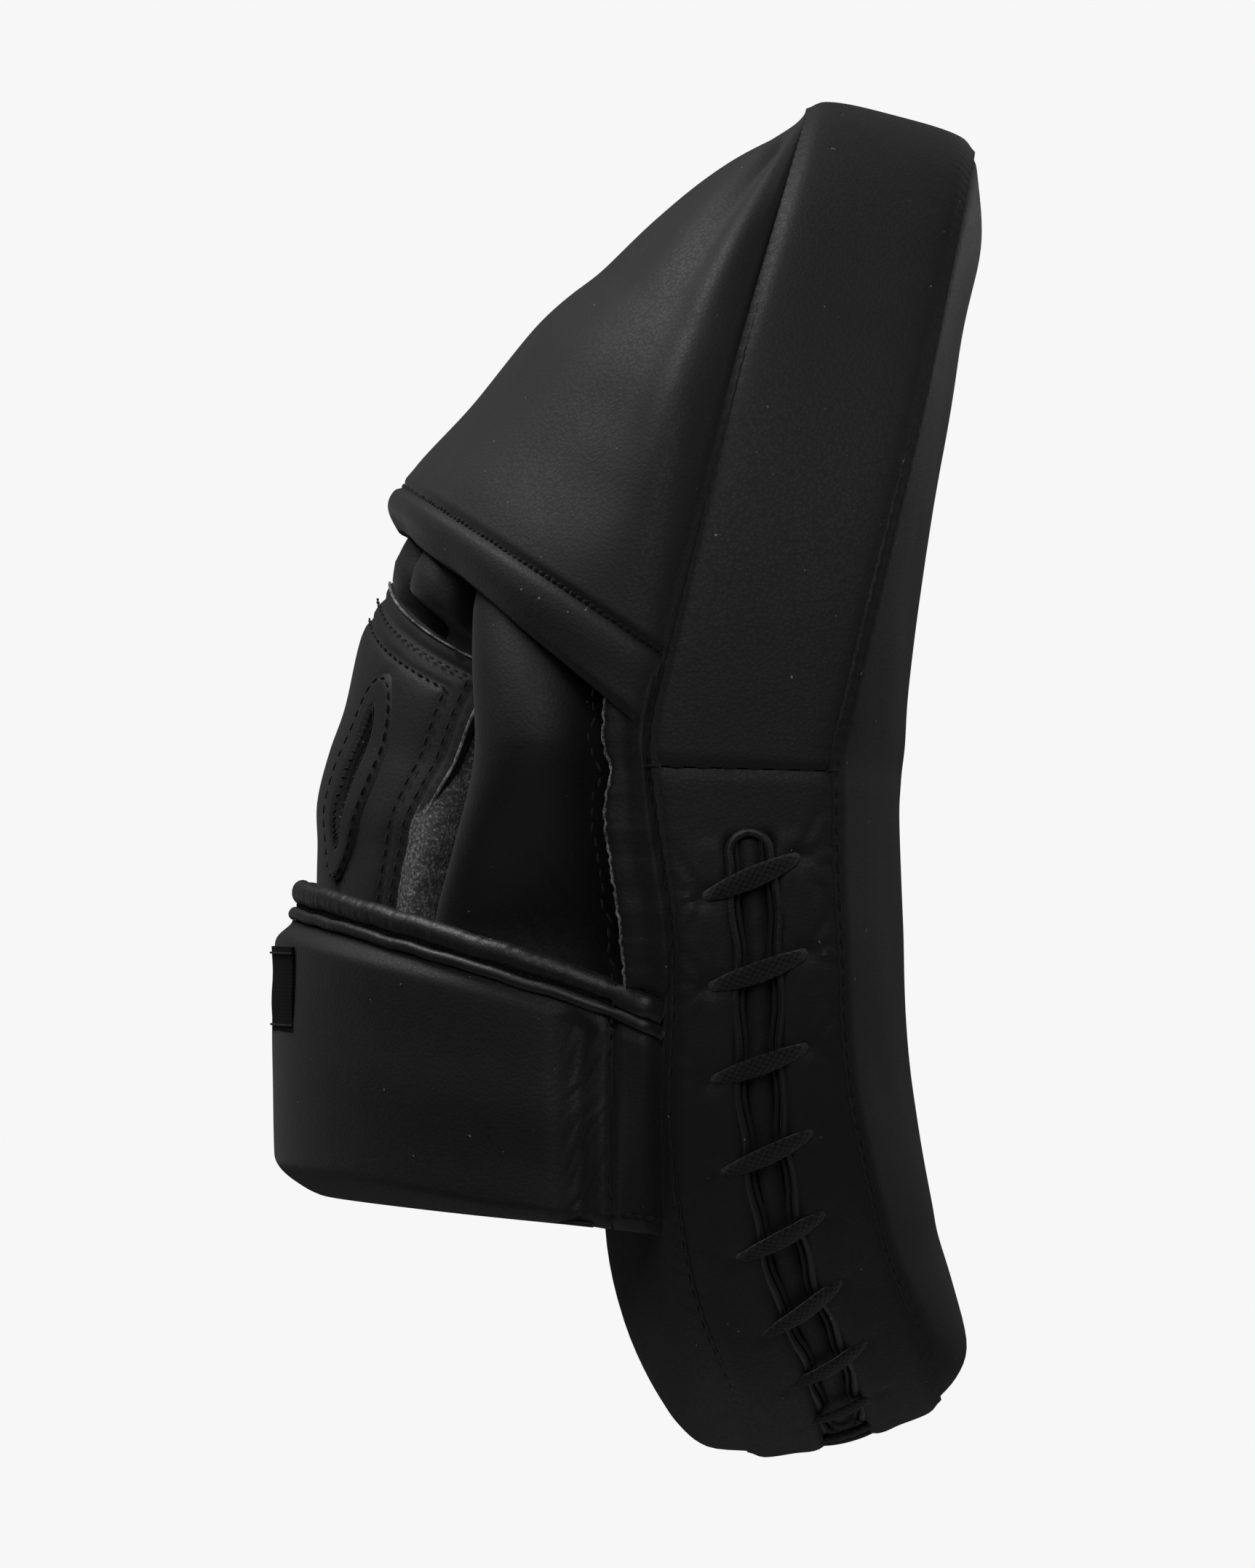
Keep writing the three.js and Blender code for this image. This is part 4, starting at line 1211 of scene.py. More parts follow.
            dress(panel(name, grid, inner, True), self.finishes.hood, replaces=[name])


# Palm, back of the hand and thumb -----------------------------------------------------------------


@dataclass
class HandBack:
    """Panel over the back of the hand: leather, foam with an open edge, lining, stitch rows and vents."""

    finishes: Finishes
    stitches: StitchTree
    half_width: float = 51.5
    corner_drop: float = 17.0
    curl: float = 2.2
    vent_middle: float = 0.54
    vent_height: float = 132.0
    crest_knots: Sequence[Sequence[float]] = (
        (-60.8, 92.0), (-60.6, 112.0), (-60.3, 119.0), (-60.3, 127.0), (-58.2, 136.6), (-55.4, 145.0),
        (-52.2, 158.0), (-47.6, 170.0))

    def __post_init__(self) -> None:
        """Samples the middle line."""
        self.crest = Line(self.crest_knots)

    def surface(self, u: Grid, v: Grid, inset: Grid | float = 0.0) -> Grid:
        """Points on the panel.

        Args:
            u: From the thumb edge (-1) to the far edge (1).
            v: From the cuff (0) to the knuckles (1).
            inset: Distance below the outer surface.

        Returns:
            The points.
        """
        side = np.abs(u)
        middle = self.crest.at(v)
        drop = mix(16.5, 20.8, ramp(v, 0.1, 0.6))
        height = middle[..., 1] - self.corner_drop * side**1.2 * ramp(v, 0.2, 1.0)
        x = middle[..., 0] + drop * side**self.curl + inset
        return np.stack([x, u * (self.half_width - inset * side**6), height], axis=-1)

    def _edge_distance(self, u: Grid, v: Grid) -> Grid:
        """Distance from the top edge or from a side edge, whichever is nearer."""
        top = (1.0 - v) * self.crest.length
        side = (1.0 - np.abs(u)) * self.half_width * 1.15
        return np.minimum(top, side)

    def layers(self) -> None:
        """Makes the leather, the foam and the lining."""
        u, v = mesh_grid(np.linspace(-1.0, 1.0, 181), np.linspace(0.0, 1.0, 141))
        away = self._edge_distance(u, v)
        spot = np.stack([u * self.half_width, v * 80.0, u * 0.0], axis=-1)
        puff = 1.5 * ramp(away, 1.0, 12.0) - 1.0
        quilting = -0.55 * bell(away, 3.3, 0.8) - 0.55 * bell(away, 7.6, 0.8)
        slack = 0.35 * soft_noise(spot, 12, 26.0)
        height = self.surface(u, v)[..., 2]
        holes = bell(np.abs(u), self.vent_middle, 0.045) * bell(height, self.vent_height, 15.0)
        lift = puff + quilting + slack * ramp(away, 2.0, 10.0) - 0.35 * bell(away, 0.0, 1.0) - 3.0 * holes
        grid = self.surface(u, v, -lift)
        back = self.surface(u, v, mix(0.9, LEATHER, ramp(away, 0.0, 8.0)) - np.minimum(lift, 0.0))
        piece = dress(panel("hand_back_panel", grid, back), self.finishes.strap,
                      replaces=["hand_back_panel"])
        self._foam()
        low, high = self.surface(u * 0.97, v * 0.97, 5.4), self.surface(u * 0.97, v * 0.97, 6.3)
        dress(panel("hand_back_lining", low[::3, ::3], high[::3, ::3]), self.finishes.lining,
              replaces=["hand_back_lining"])

    def _foam(self) -> None:
        """Makes the foam, whose torn near edge stands proud of the leather beside the thumb."""
        u, v = mesh_grid(np.linspace(-1.0, 0.96, 200), np.linspace(0.02, 0.9, 150))
        height = self.surface(u, v)[..., 2]
        proud = ramp(height, 96.0, 104.0) * (1.0 - ramp(height, 118.0, 136.5))
        ragged = 0.4 * ripple(height, 41, (9.0, 6.1, 4.3)) * proud
        stretch = 1.0 + (5.2 * proud + ragged) / self.half_width * ramp(-u, 0.8, 1.0)
        crumbs = 0.11 * soft_noise(self.surface(u, v), 42, 2.2) * ramp(-u, 0.85, 1.0)
        fall = np.clip((-u - 0.95) / 0.05, 0.0, 1.0)
        lift = mix(2.1, 0.3, ramp(-u, 0.86, 0.94) * proud)
        lift = lift + 4.4 * (1.0 - np.sqrt(1.0 - 0.98 * fall**2)) + crumbs
        outer = self.surface(u * stretch, v, lift)
        inner = self.surface(u * stretch, v, np.full_like(u, 5.4))
        dress(panel("hand_back_foam", outer, inner), self.finishes.foam,
              replaces=["hand_back_foam"])

    def rows(self) -> None:
        """Sews the two rows inside the edges and trims the raw edge."""
        thread = []
        for away in (3.3, 7.6):
            top_v = 1.0 - away / self.crest.length
            side_u = 1.0 - away / (self.half_width * 1.15)
            up = np.linspace(0.1, top_v, 70)
            over = np.linspace(-side_u, side_u, 110)
            path = np.vstack([
                self.surface(np.full(70, -side_u), up, -0.25),
                self.surface(over, np.full(110, top_v), -0.25),
                self.surface(np.full(70, side_u), up[::-1], -0.25)])
            thread.append(path)
        dress(self.stitches.sew("hand_back_stitches", thread, self.finishes.thread, 2.9, 1.9, 0.27),
              self.finishes.thread)
        up = np.linspace(0.16, 1.0, 90)
        over = np.linspace(-1.0, 1.0, 140)
        edge = np.vstack([
            self.surface(np.full(90, -1.0), up, 0.9), self.surface(over, np.full(140, 1.0), 0.9)[1:],
            self.surface(np.full(90, 1.0), up[::-1], 0.9)[1:]])
        spot = np.arange(len(edge)) * 0.9
        facing = np.tile(np.array([-1.0, 0.0, 0.2]), (len(edge), 1))
        width = 0.24 + 0.1 * ripple(spot, 43, (6.0, 2.3, 1.4))
        dress(sweep("hand_back_raw_edge", edge, facing, width, 0.3, 8), self.finishes.raw_edge)

    def _height_fraction(self, u: Grid, height: Grid) -> Grid:
        """Fraction up the panel at which it reaches a height, for each u."""
        steps = np.linspace(0.0, 1.0, 300)
        table = self.surface(np.zeros(300), steps)[:, 2]
        fraction = np.interp(height, table, steps)
        for _ in range(12):
            short = height - self.surface(u, fraction)[..., 2]
            fraction = np.clip(fraction + short / self.crest.length, 0.0, 1.0)
        return fraction

    def vents(self) -> None:
        """Makes the oval vent patches with their slots and overcast edges."""
        span, tall = 0.165, 20.0
        for name, side in (("near", -1.0), ("far", 1.0)):
            turn = np.linspace(0.0, 2.0 * math.pi, 96, endpoint=False)
            angle, t = mesh_grid(turn, np.linspace(0.0, 1.0, 16))
            reach_u = mix(0.045, span, t)
            reach_z = mix(0.66, 1.0, t) * tall
            u = side * (self.vent_middle + reach_u * np.cos(angle))
            height = self.vent_height + reach_z * np.sin(angle)
            v = self._height_fraction(u, height)
            crown = 1.0 - 0.9 * bell(t, 1.0, 0.12) - 0.7 * bell(t, 0.0, 0.12)
            outer = self.surface(u, v, -(0.55 + 0.95 * crown))
            inner = self.surface(u, v, 0.4)
            dress(panel(f"vent_patch_{name}", outer, inner, True), self.finishes.strap,
                  replaces=[f"vent_patch_{name}"])
            rim = outer[-2] * 0.5 + outer[-3] * 0.5 + np.array([-0.35, 0.0, 0.0])
            lip = outer[0] + np.array([-0.25, 0.0, 0.0])
            closed = np.vstack([rim, rim[:1]])
            dress(self.stitches.sew(f"vent_stitches_{name}", [closed], self.finishes.thread, 2.8, 1.9, 0.28),
                  self.finishes.thread)
            whip = [np.vstack([lip[k], outer[2][k] + np.array([-0.15, 0.0, 0.0])]) for k in range(0, 96, 2)]
            dress(self.stitches.sew(f"vent_overcast_{name}", whip, self.finishes.thread, 1.3, 1.5, 0.2),
                  self.finishes.thread)


@dataclass
class ThumbSleeve:
    """Closed tube for the thumb, its lining and the flange that joins it to the pad."""

    form: PadForm
    finishes: Finishes
    stitches: StitchTree
    low: float = 94.0
    top: float = 178.0
    half_width: float = 13.2
    half_depth: float = 15.5

    def surface(self, angle: Grid, v: Grid, inset: float = 0.0) -> Grid:
        """Points on the sleeve: angle round it, v from its mouth to its closed tip."""
        height = mix(self.low, self.top - inset, v)
        tip = np.sqrt(1.0 - np.clip((v - 0.82) / 0.18, 0.0, 1.0) ** 2)
        mouth = 1.0 - ramp(height, 98.0, 140.0)
        under = ramp(height, 138.0, self.top)
        x = mix(-16.4, -19.8, mouth) + np.sin(angle) * (self.half_width + 4.3 * mouth - inset) * tip
        deep = self.half_depth - 5.5 * mouth - 3.0 * under - inset
        y = -72.0 + 12.5 * mouth + 12.0 * under + np.cos(angle) * deep * tip
        return np.stack([x, y, height], axis=-1)

    def sleeve(self) -> None:
        """Makes the sleeve with its creases and its lining."""
        angle, v = mesh_grid(np.linspace(0.0, 2.0 * math.pi, 160, endpoint=False), 1.0 - (1.0 - np.linspace(
            0.0, 1.0, 130)) ** 1.25)
        plain = self.surface(angle, v)
        normal = grid_normals(plain, True)
        normal *= np.sign(normal[40, 80] @ np.array([0.0, -1.0, 0.0]))
        slack = 0.4 * soft_noise(plain, 50, 30.0)
        slant = plain[..., 0] * 0.8 + plain[..., 2] * 0.55
        pinch = bell(plain[..., 2], 105.0, 13.0) * bell(plain[..., 0], -9.0, 9.0)
        lift = slack * (1.0 - ramp(v, 0.9, 1.0)) + 0.5 * pinch * ripple(slant, 51, (5.2, 3.3, 8.0))
        grid = plain + normal * lift[..., None]
        inner = self.surface(angle[::4], v[::4], 2.2)
        dress(panel("thumb_sleeve", grid, inner, True), self.finishes.strap,
              replaces=["thumb_sleeve"])
        outer = self.surface(angle[::4, ::4], v[::4, ::4] * 0.99, 2.6)
        lining = self.surface(angle[::4, ::4], v[::4, ::4] * 0.98, 3.5)
        dress(panel("thumb_sleeve_lining", outer, lining, True), self.finishes.lining,
              replaces=["thumb_sleeve_lining"])

    def _edge_x(self, height: Grid) -> Grid:
        """Wavy line at which the flange ends on the sleeve."""
        return np.interp(height, (80.0, 106.0, 116.0, 126.0, 133.0, 138.0, 148.0), (
            0.6, -1.7, -3.2, -4.6, -3.2, -4.9, -4.0))

    def flange(self) -> None:
        """Makes the flange from the pad's back seam to the sleeve, with its raw edge and stitches."""
        height, u = mesh_grid(np.linspace(84.0, 147.5, 150), np.linspace(0.0, 1.0, 26))
        along = self.form.along_at(height)
        base = self.form.point(along, -self.form.width_at(along), -self.form.half_thickness(along) + 0.3)
        edge_x = self._edge_x(height) + 0.25 * ripple(height, 60, (7.0, 3.1, 2.0))
        x = mix(base[..., 0], edge_x, u)
        y = base[..., 1] + 1.4 * np.sin(math.pi * u) ** 2 + 4.4 * u**1.5 + 1.0 * bell(u, 0.0, 0.1)
        spot = np.stack([x, y, height], axis=-1)
        y = y + 0.18 * soft_noise(spot, 61, 9.0) + 5.0 * (1.0 - ramp(height, 86.0, 95.0))
        grid = np.stack([x, y, base[..., 2]], axis=-1)
        sign = float(np.sign(grid_normals(grid, False)[13, 70] @ np.array([0.0, -1.0, 0.0])))
        dress(skin("near_flange", grid, 1.3, sign=sign), self.finishes.pad,
              replaces=["near_flange"])
        edge = grid[-1] + np.array([-0.1, -0.1, 0.0])
        facing = np.tile(np.array([0.0, -1.0, 0.0]), (len(edge), 1))
        width = 0.26 + 0.12 * ripple(height[0], 62, (4.0, 2.2, 1.3))
        dress(sweep("thumb_raw_edge", edge, facing, width, 0.4, 8), self.finishes.raw_edge)
        beside = edge + np.array([-2.3, 0.2, 0.0])
        beside[:, 0] += 0.5 * ripple(height[0], 63, (9.0, 5.0, 13.0))
        shown = beside[height[0] > 94.0]
        dress(self.stitches.sew("thumb_seam_stitches", [shown], self.finishes.thread, 3.0, 1.9, 0.2),
              self.finishes.thread)


@dataclass
class PalmSide:
    """Palm cushion and the side wall on the far side of the hand."""

    form: PadForm
    hand_back: HandBack
    finishes: Finishes

    def cushion(self) -> None:
        """Makes the palm cushion as a stuffed closed form, blown up by a short simulation."""
        angle, v = mesh_grid(np.linspace(0.0, 2.0 * math.pi, 64, endpoint=False), np.linspace(0.0, 1.0, 12))
        along = 98.0 + 26.0 * v * np.cos(angle)
        across = 37.0 * v * np.sin(angle)
        base = self.form.half_thickness(along) + self.form.rise(self.form.back_rise, along, across, 3.4) + 0.6
        upper = self.form.point(along, across, -base - 1.0 - 5.0 * (1.0 - v**3))
        lower = self.form.point(along, across, -base)
        piece = panel("palm_cushion", upper, lower, True)
        inflate(piece, 4.0, 4.0, 2.5)
        dress(piece, self.finishes.strap, replaces=["palm_cushion"])

    def far_wall(self) -> None:
        """Makes the leather wall from the pad's far seam to the hand-back panel."""
        t, height = mesh_grid(np.linspace(0.0, 1.0, 70), np.linspace(102.0, 143.0, 50))
        along = self.form.along_at(height)
        base = self.form.point(along, self.form.width_at(along), -self.form.half_thickness(along) - 0.6)
        v = np.interp(height - 4.0, (92.0, 153.0), (0.0, 0.98))
        edge = self.hand_back.surface(np.full_like(v, 1.02), v)
        angle = 0.5 * math.pi * t
        x = mix(base[..., 0], edge[..., 0], 1.0 - np.cos(angle))
        y = mix(edge[..., 1] + 1.6, base[..., 1], np.cos(angle) ** 0.8)
        grid = np.stack([x, y, height], axis=-1)
        sign = float(np.sign(grid_normals(grid, False)[25, 20] @ np.array([0.0, 1.0, 0.0])))
        dress(skin("far_side_panel", grid, 1.5, sign=sign), self.finishes.strap,
              replaces=["far_side_panel"])


def inflate(piece: bpy.types.Object, voxel: float, pressure: float, cap: float) -> None:
    """Blows a closed form up with a short cloth simulation.

    Args:
        piece: The object, whose mesh is replaced by the result.
        voxel: Size of the remesh, in millimetres.
        pressure: Pressure inside the cloth.
        cap: The furthest that a point may move, in millimetres.
    """
    copy = piece.copy()
    copy.data = piece.data.copy()
    bpy.context.scene.collection.objects.link(copy)
    remesh = copy.modifiers.new("remesh", "REMESH")
    remesh.mode = "VOXEL"
    remesh.voxel_size = voxel * MM
    depsgraph = bpy.context.evaluated_depsgraph_get()
    copy.data = bpy.data.meshes.new_from_object(copy.evaluated_get(depsgraph))
    copy.modifiers.clear()
    rest = np.array([vertex.co[:] for vertex in copy.data.vertices])
    cloth = copy.modifiers.new("cloth", "CLOTH")
    cloth.settings.use_pressure = True
    cloth.settings.uniform_pressure_force = pressure
    cloth.settings.effector_weights.gravity = 0.0
    for frame_number in range(1, 21):
        bpy.context.scene.frame_set(frame_number)
    depsgraph = bpy.context.evaluated_depsgraph_get()
    swollen = copy.evaluated_get(depsgraph).to_mesh()
    moved = np.array([vertex.co[:] for vertex in swollen.vertices]) - rest
    far = np.linalg.norm(moved, axis=1, keepdims=True)
    points = rest + moved * np.minimum(1.0, cap * MM / np.maximum(far, 1e-9))
    copy.modifiers.clear()
    copy.data.vertices.foreach_set("co", points.ravel())
    smooth = copy.modifiers.new("smooth", "SUBSURF")
    smooth.levels = smooth.render_levels = 1
    depsgraph = bpy.context.evaluated_depsgraph_get()
    piece.data = bpy.data.meshes.new_from_object(copy.evaluated_get(depsgraph))
    piece.data.polygons.foreach_set("use_smooth", [True] * len(piece.data.polygons))
    bpy.data.objects.remove(copy)
    bpy.context.scene.frame_set(1)


# Wrist cuff ---------------------------------------------------------------------------------------


@dataclass
class WristCuff:
    """Padded strap round the wrist, from the pad's near seam over the wrist to a tab on the far side."""

    form: PadForm
    finishes: Finishes
    stitches: StitchTree
    seam_x: float = 8.4
    depth: float = 77.6
    half_width: float = 86.0
    seam_bottom: float = 43.4
    seam_top: float = 80.0
    bottom_rise: float = 7.0
    top_rise: float = 24.0
    far_end: float = 136.2
    tip_end: float = 166.0
    blend_start: tuple[float, float, float] = (4.0, -86.0, 0.0)
    blend_end: tuple[float, float, float] = (-20.0, -82.0, 0.0)

    def surface(self, angle: Grid, lift: Grid | float, part: Grid, inset: Grid | float) -> Grid:
        """Points on the cuff.

        Args:
            angle: Degrees round it from the near seam.
            lift: Added height.
            part: 0 at the lower edge, 1 at the top edge of the leather.
            inset: Distance inside the outer surface.

        Returns:
            The points.
        """
        turn = np.radians(angle)
        out = np.maximum(np.sin(turn), 0.0)
        low = self.seam_bottom + self.bottom_rise * out**0.6
        high = self.seam_top + self.top_rise * out**0.75
        height = mix(low, high, part) + lift
        seam_width = self.form.width_at(self.form.along_at(np.minimum(height, 100.0)))
        width = mix(seam_width, self.half_width, ramp(out, 0.0, 0.18))
        normal = np.stack([-out * width, -np.cos(turn) * self.depth], axis=-1)
        normal /= np.linalg.norm(normal, axis=-1, keepdims=True)
        x = self.seam_x - self.depth * out - normal[..., 0] * inset
        y = -width * np.cos(turn) - normal[..., 1] * inset
        return np.stack([x, y, height], axis=-1)

    def _bend(self, piece: bpy.types.Object, finish: bpy.types.Material,
              replaces: Sequence[str] = ()) -> bpy.types.Object:
        """Gives a piece between the pad and the strap its material, bakes its transform and hides the CAD
        nodes it replaces.
        """
        piece.data.materials.clear()
        piece.data.materials.append(finish)
        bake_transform(piece)
        return register(piece, replaces)

    def padding(self) -> None:
        """Makes the padded leather of the strap, from the pad's seam round to its far end."""
        angle, part = mesh_grid(np.linspace(1.2, self.far_end, 330), np.linspace(0.0, 1.0, 90))
        near = 1.0 - ramp(angle, 6.5, 11.5)
        tall = part * (self.seam_top + self.top_rise - self.seam_bottom)
        crest = ramp(np.sin(np.radians(angle)), 0.35, 0.95)
        round_edge = 1.0 - np.clip(tall / mix(4.5, 9.0, crest), 0.0, 1.0)
        puff = 0.7 * np.sin(math.pi * np.clip(part * 1.02, 0.0, 1.0)) ** 0.8 * (1.0 - near)
        seam_line = 1.2 * bell(angle, 8.6, 0.75)
        gather = bell(angle, 12.4, 2.2) * (1.0 - ramp(part, 0.86, 1.0))
        on_strap = np.stack([angle, tall, 0.0 * tall], axis=-1)
        slant = angle * 1.35 + tall * 0.42 + 1.3 * soft_noise(on_strap, 69, 17.0)
        wrinkles = 0.62 * gather * ripple(slant, 70, (2.9, 2.1, 4.7))
        spot = np.stack([angle * 1.3, tall, angle * 0.0], axis=-1)
        slack = 0.45 * soft_noise(spot, 71, 38.0) * (1.0 - near) * np.sin(math.pi * part)
        dimple = 2.3 * bell(angle, 13.6, 2.6) * (1.0 - ramp(part, 0.9, 1.0))
        under_roll = (0.8 + 2.4 * crest) * ramp(part, 0.90, 1.0) ** 2
        tucked = 2.6 * (1.0 - ramp(angle, 1.0, 4.6))
        rounded = mix(3.6, 8.6, crest) * round_edge**2.0
        sink = 0.3 + tucked + seam_line + dimple + under_roll + rounded - puff - wrinkles - slack
        end = 1.6 * bell(angle, self.far_end, 1.2)
        outer = self.surface(angle, -1.8 * bell(tall, 0.0, 1.5) * (1.0 - round_edge), part, sink + end)
        thick = mix(2.1, 6.4, 1.0 - near)
        depth = np.maximum(thick - 0.9 * round_edge**2.0, sink + 0.9)
        inner = self.surface(angle, 0.0, mix(0.012, 0.985, part), depth)
        nodes = ["cuff_near_flange", "strap_outer", "strap_foam", "strap_lining"]
        self._bend(panel("strap_leather", outer, inner), self.finishes.strap, nodes)

    def core(self) -> None:
        """Makes the gritty core that shows between the two rolled edges."""
        angle, part = mesh_grid(np.linspace(1.6, self.far_end, 300), np.linspace(0.0, 1.0, 14))
        spot = self.surface(angle, 0.0, np.ones_like(part), 0.0) + part[..., None] * 5.0
        crumbs = 0.22 * soft_noise(spot, 80, 1.5)
        lift = mix(-1.5, 4.4, part)
        crest = 2.9 * ramp(np.sin(np.radians(angle)), 0.35, 0.95) + 1.7 * (1.0 - ramp(angle, 1.2, 4.6))
        outer = self.surface(angle, lift, 1.0, 1.5 + crest + crumbs)
        inner = self.surface(angle, lift, 1.0, crest + mix(2.6, 5.2, ramp(angle, 5.0, 12.0)))
        self._bend(panel("strap_core", outer, inner), self.finishes.gritty)

    def rolls(self) -> None:
        """Makes the two rolled edges along the top of the strap."""
        angle = np.linspace(1.2, self.far_end + 0.2, 420)
        sizes = (
            ("strap_binding_lower", 1.35, 0.9, 1.15, 1.1, 72),
            ("strap_binding_upper", 5.3, 2.5, 2.3, 2.0, 73))
        for name, lift, inset, half_height, half_depth, seed in sizes:
            near = 1.0 - ramp(angle, 6.0, 12.0)
            sway = 0.22 * ripple(angle * 1.3, seed, (31.0, 17.0, 11.0))
            turn = np.radians(angle)
            tucked = 3.0 * (1.0 - ramp(angle, 1.2, 4.6))
            depth = mix(inset, inset * 0.45, near) + 2.9 * ramp(np.sin(turn), 0.35, 0.95) + tucked
            path = self.surface(angle, lift + sway, 1.0, depth)
            facing = np.stack([-np.sin(turn), -np.cos(turn), 0.0 * turn], axis=-1)
            pucker = 1.0 + 0.05 * ripple(angle * 1.3, seed + 5, (3.3, 2.1, 5.0))
            tall = half_height * pucker * (1.0 - 0.25 * bell(angle, 8.6, 1.0))
            deep = half_depth * pucker * mix(1.0, 0.6, near)
            self._bend(sweep(name, path, facing, tall, deep, 18), self.finishes.rolled, [name])

    def seam_threads(self) -> None:
        """Sews the strap to the pad: one row down the flange and one along its foot."""
        part = np.linspace(0.02, 1.16, 60)
        angle = 8.6 + 0.9 * np.sin(math.pi * part)
        down = self.surface(angle, 0.0, part, 1.0)
        foot_angle = np.linspace(1.6, 8.6, 14)
        foot = self.surface(foot_angle, 3.2, np.zeros(14), -0.1)
        piece = self.stitches.sew("cuff_seam_stitches", [down, foot], self.finishes.thread, 2.9, 2.0, 0.32)
        self._bend(piece, self.finishes.thread)
        low_angle = np.linspace(12.0, self.far_end - 1.0, 260)
        crest = ramp(np.sin(np.radians(low_angle)), 0.35, 0.95)
        low = self.surface(low_angle, 0.9, np.zeros(260), mix(4.2, 9.4, crest))
        facing = np.tile(np.array([0.0, 0.0, -1.0]), (260, 1))
        lip = sweep("strap_lining_edge", low + np.array([0.0, 0.0, -0.55]), facing, 1.1, 0.42, 10)
        self._bend(lip, self.finishes.lining)

    def label(self) -> None:
        """Makes the blank woven label, sewn down at its top and bottom."""
        angle, part = mesh_grid(np.linspace(70.0, 84.0, 40), np.linspace(0.0, 1.0, 40))
        grid = self.surface(angle, 0.0, part * 0.0, -0.75 + 0.12 * np.cos(part * 9.0))
        grid[..., 2] = mix(82.5, 99.0, part)
        sign = float(np.sign(grid_normals(grid, False)[20, 20] @ np.array([-1.0, 0.0, 0.0])))
        dress(skin("woven_label", grid, 0.7, sign=sign), self.finishes.label, Body.STRAP,
              ["woven_label"])
        rows = [grid[row] + np.array([-0.25, 0.0, 0.0]) for row in (3, 36)]
        dress(self.stitches.sew("label_stitches", rows, self.finishes.thread, 1.6, 1.2, 0.25),
              self.finishes.thread,
              Body.STRAP)

    def tip(self) -> None:
        """Makes the thin end of the strap, its hook tape, and the far tab with its loop tape."""
        angle, part = mesh_grid(np.linspace(130.0, self.tip_end, 90), np.linspace(0.0, 1.0, 60))
        corner = 1.0 - ramp(angle, self.tip_end - 5.0, self.tip_end)
        squeeze = mix(0.86, 1.0, np.sqrt(np.clip(corner, 0.0, 1.0)))
        trimmed = 0.5 + (part - 0.5) * squeeze * 0.94
        tuck = 2.4 * (1.0 - ramp(angle, 133.5, 138.5))
        spot = np.stack([angle, part * 50.0, angle * 0.0], axis=-1)
        outer = self.surface(angle, 0.0, trimmed, tuck + 0.25 * soft_noise(spot, 90, 24.0) + 0.1)
        inner = self.surface(angle, 0.0, trimmed, tuck + 2.0)
        tip = panel("strap_end", outer, inner)
        hook = self._tape("hook_tape", 141.0, self.tip_end - 1.5, 2.15, 3.0, 5.0)
        rows = [self.surface(np.linspace(140.0, self.tip_end - 2.0, 60), 0.0, np.full(60, level), -0.05)
                for level in (0.1, 0.9)]
        seam = self.stitches.sew("strap_end_stitches", rows, self.finishes.thread, 3.2, 2.4, 0.38)
        for piece, finish, slot, nodes in (
                (tip, self.finishes.strap, Slot.LEATHER, ["strap_end"]),
                (hook, self.finishes.tape, Slot.TAPE, ["hook_tape"]),
                (seam, self.finishes.thread, Slot.LEATHER, [])):
            piece.data.materials.clear()
            piece.data.materials.append(finish)
            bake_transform(piece)
            register(piece, nodes)
        loop = self._tape("loop_tape", 141.0, 164.0, 3.7, 4.6, 6.0)
        dress(loop, self.finishes.tape, replaces=["loop_tape"])
        angle, part = mesh_grid(np.linspace(139.5, 178.6, 90), np.linspace(0.04, 0.96, 50))
        tab = panel("cuff_far_tab", self.surface(angle, 0.0, part, mix(4.9, 0.4, ramp(angle, 168.0, 178.0))),
                    self.surface(angle, 0.0, part, mix(6.9, 2.4, ramp(angle, 168.0, 178.0))))
        dress(tab, self.finishes.strap, replaces=["cuff_far_tab"])

    def _tape(self, name: str, start: float, end: float, top: float, bottom: float, margin: float
              ) -> bpy.types.Object:
        """Strip of hook or loop tape on the strap or the tab, with a bristly face."""
        angle, part = mesh_grid(np.linspace(start, end, 120), np.linspace(0.0, 1.0, 90))
        lift = mix(margin, -margin, part)
        spot = self.surface(angle, lift, part, 0.0)
        bristle = 0.12 * soft_noise(spot, 95, 1.1)
        outer = self.surface(angle, lift, part, top + bristle)
        return panel(name, outer, self.surface(angle, lift, part, bottom))


# Studio -------------------------------------------------------------------------------------------


@dataclass(frozen=True)
class Softbox:
    """One large soft lamp."""

    name: str
    place: tuple[float, float, float]
    size: tuple[float, float]
    power: float


